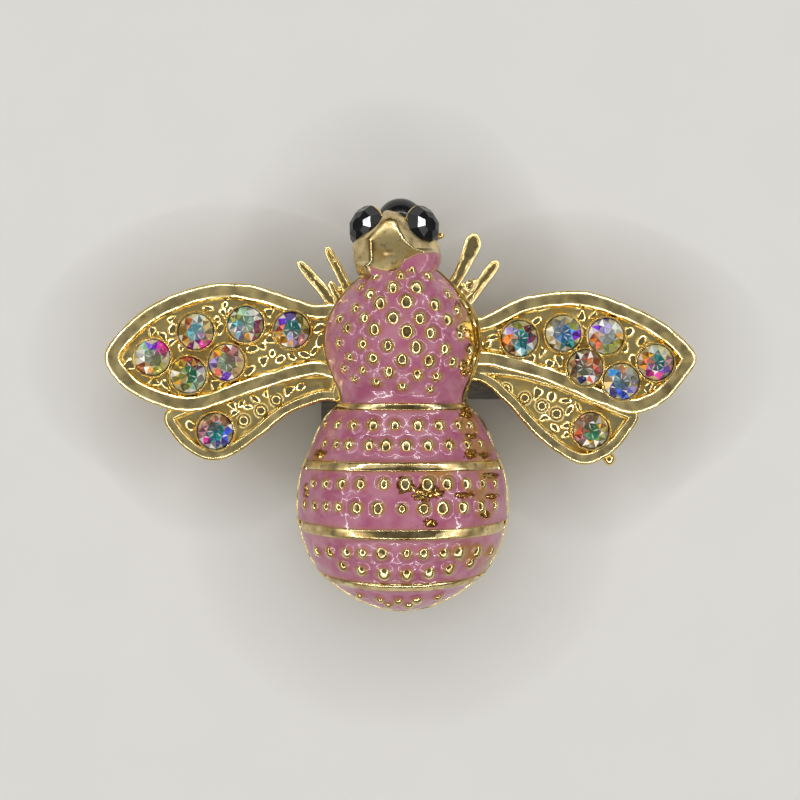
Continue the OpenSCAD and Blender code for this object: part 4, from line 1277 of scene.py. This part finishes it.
# Section of a leg's edge as inset and height
LEG_RIM = [
    (0.0, 0.0), (0.0, 0.36), (0.01, 0.47), (0.025, 0.52), (0.055, 0.537), (0.085, 0.551), (0.115, 0.562),
    (0.14, 0.562), (0.165, 0.55), (0.19, 0.535), (0.205, 0.49), (0.22, 0.46)]
LEG_Z = 3.3
LEG_FLOOR = 0.45
LEG_SPACING = 0.06


def leg_outline(line):
    """Outline of a leg, from its line and half widths"""
    line = np.array(line)
    path, wide = line[:, :2], line[:, 2:]
    along = unit(np.gradient(path, axis=0))
    side = np.stack([-along[:, 1], along[:, 0]], -1)
    tip = path[-1] + along[-1] * wide[-1] * 0.8
    root = path[0] - along[0] * wide[0] * 0.8
    return np.vstack([path + side * wide, tip, (path - side * wide)[::-1], root])


def legs():
    """Legs of each side, narrow plates with a bevelled edge, and the lumps at their roots"""
    for name, lines in LEGS.items():
        work = Work()
        for line in lines:
            loop = smooth_loop(leg_outline(line), LEG_SPACING)
            plate(work, loop, LEG_Z, LEG_RIM, LEG_FLOOR, LEG_SPACING, wobble=0.01, floor_part=0)
        for centre, size in LEG_CRUMBS[name]:
            crumb(work, centre, size)
        piece(work, name, [GOLD, CAST], ["casting"], crease=50)


def casting_nub():
    """Small nub of cast metal at the edge of the right hindwing"""
    work = Work()
    x, y = hind_at(1, (0.885, 0.98))
    turned(work, np.array([x, y, 2.82]), UP, ball(0.4, 0.1, 14), 24, lambda turn: 1 + 0.05 * np.sin(3 * turn))
    piece(work, "casting_nub", [GOLD], ["casting"])


def crumb(work, centre, size):
    """Ragged lump of casting skin"""
    turn = circle(40)[None, :]
    rise = np.linspace(0.08, math.pi - 0.08, 24)[:, None]
    skin = np.stack([np.sin(rise) * np.cos(turn), np.sin(rise) * np.sin(turn), -np.cos(rise) + 0 * turn], -1)
    where = skin * size + centre
    rough = 1 + 0.45 * ripple(where, 0.3) + 0.35 * ripple(where, 0.13, 4.0)
    work.tube(skin * size * rough[..., None] * [1, 1, 0.55] + centre)


# Studio, in metres and watts. The sky is dim, so that flat metal reads dark
SKY_LIGHT = 0.15
FLOOR_HALF = 2.0
FLOOR_ROWS = 24
LAMP_LENGTH = 0.2
# The two rings of lamps. Columns: name, width, power, distance as a share of the ring's
LAMP_RINGS = [("strip", 0.009, 0.19, 1.0), ("soft", 0.26, 0.09, 1.02)]
# Camera, in millimetres: width of what it sees at the height of the wings and stones
SENSOR_WIDTH = 36.0
VIEW_WIDTH = 48.48
VIEW_PLANE = 4.75


def studio():
    """Pale card, a ring of narrow lamps before a ring of soft ones, and the camera straight above"""
    scene = bpy.context.scene
    scene.view_settings.view_transform = "Standard"
    mesh = bpy.data.meshes.new("floor")
    xs = np.linspace(-FLOOR_HALF, FLOOR_HALF, FLOOR_ROWS)
    corners = [i * FLOOR_ROWS + j for i in range(FLOOR_ROWS - 1) for j in range(FLOOR_ROWS - 1)]
    faces = [[c, c + FLOOR_ROWS, c + FLOOR_ROWS + 1, c + 1] for c in corners]
    mesh.from_pydata([(x, y, 0.0) for x in xs for y in xs], [], faces)
    mesh.materials.append(material(pale_card))
    floor = bpy.data.objects.new("floor", mesh)
    scene.collection.objects.link(floor)

    world = bpy.data.worlds.new("studio")
    world.use_nodes = True
    sky = world.node_tree.nodes["Background"]
    fill(world.node_tree, sky, {"Color": hue("#FFFFFF"), "Strength": SKY_LIGHT})
    scene.world = world

    for name, width, power, away in LAMP_RINGS:
        for k in range(LAMPS):
            lamp = bpy.data.lights.new(name + "_lamp_" + str(k + 1), "AREA")
            lamp.shape = "RECTANGLE"
            lamp.size, lamp.size_y = LAMP_LENGTH, width
            lamp.energy = power
            made = bpy.data.objects.new(lamp.name, lamp)
            place = Vector(lamp_place(k) * away)
            made.location = place
            made.rotation_euler = place.to_track_quat("Z", "Y").to_euler()
            scene.collection.objects.link(made)

    camera = bpy.data.cameras.new("camera")
    camera.sensor_width = SENSOR_WIDTH
    camera.lens = SENSOR_WIDTH * (CAMERA_PLACE[2] - VIEW_PLANE) / VIEW_WIDTH
    camera.clip_start = 0.01
    made = bpy.data.objects.new("camera", camera)
    made.location = Vector(CAMERA_PLACE) * MM
    scene.collection.objects.link(made)
    scene.camera = made


body_core()
enamel_fields()
wings()
wing_stones()
bee_head()
for side, name in ((-1, "eye_left"), (1, "eye_right")):
    jet_eye(side, name)
bee_face()
legs()
casting_nub()
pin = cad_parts["pin_back"]
pin.data.materials.clear()
pin.data.materials.append(STEEL)
studio()
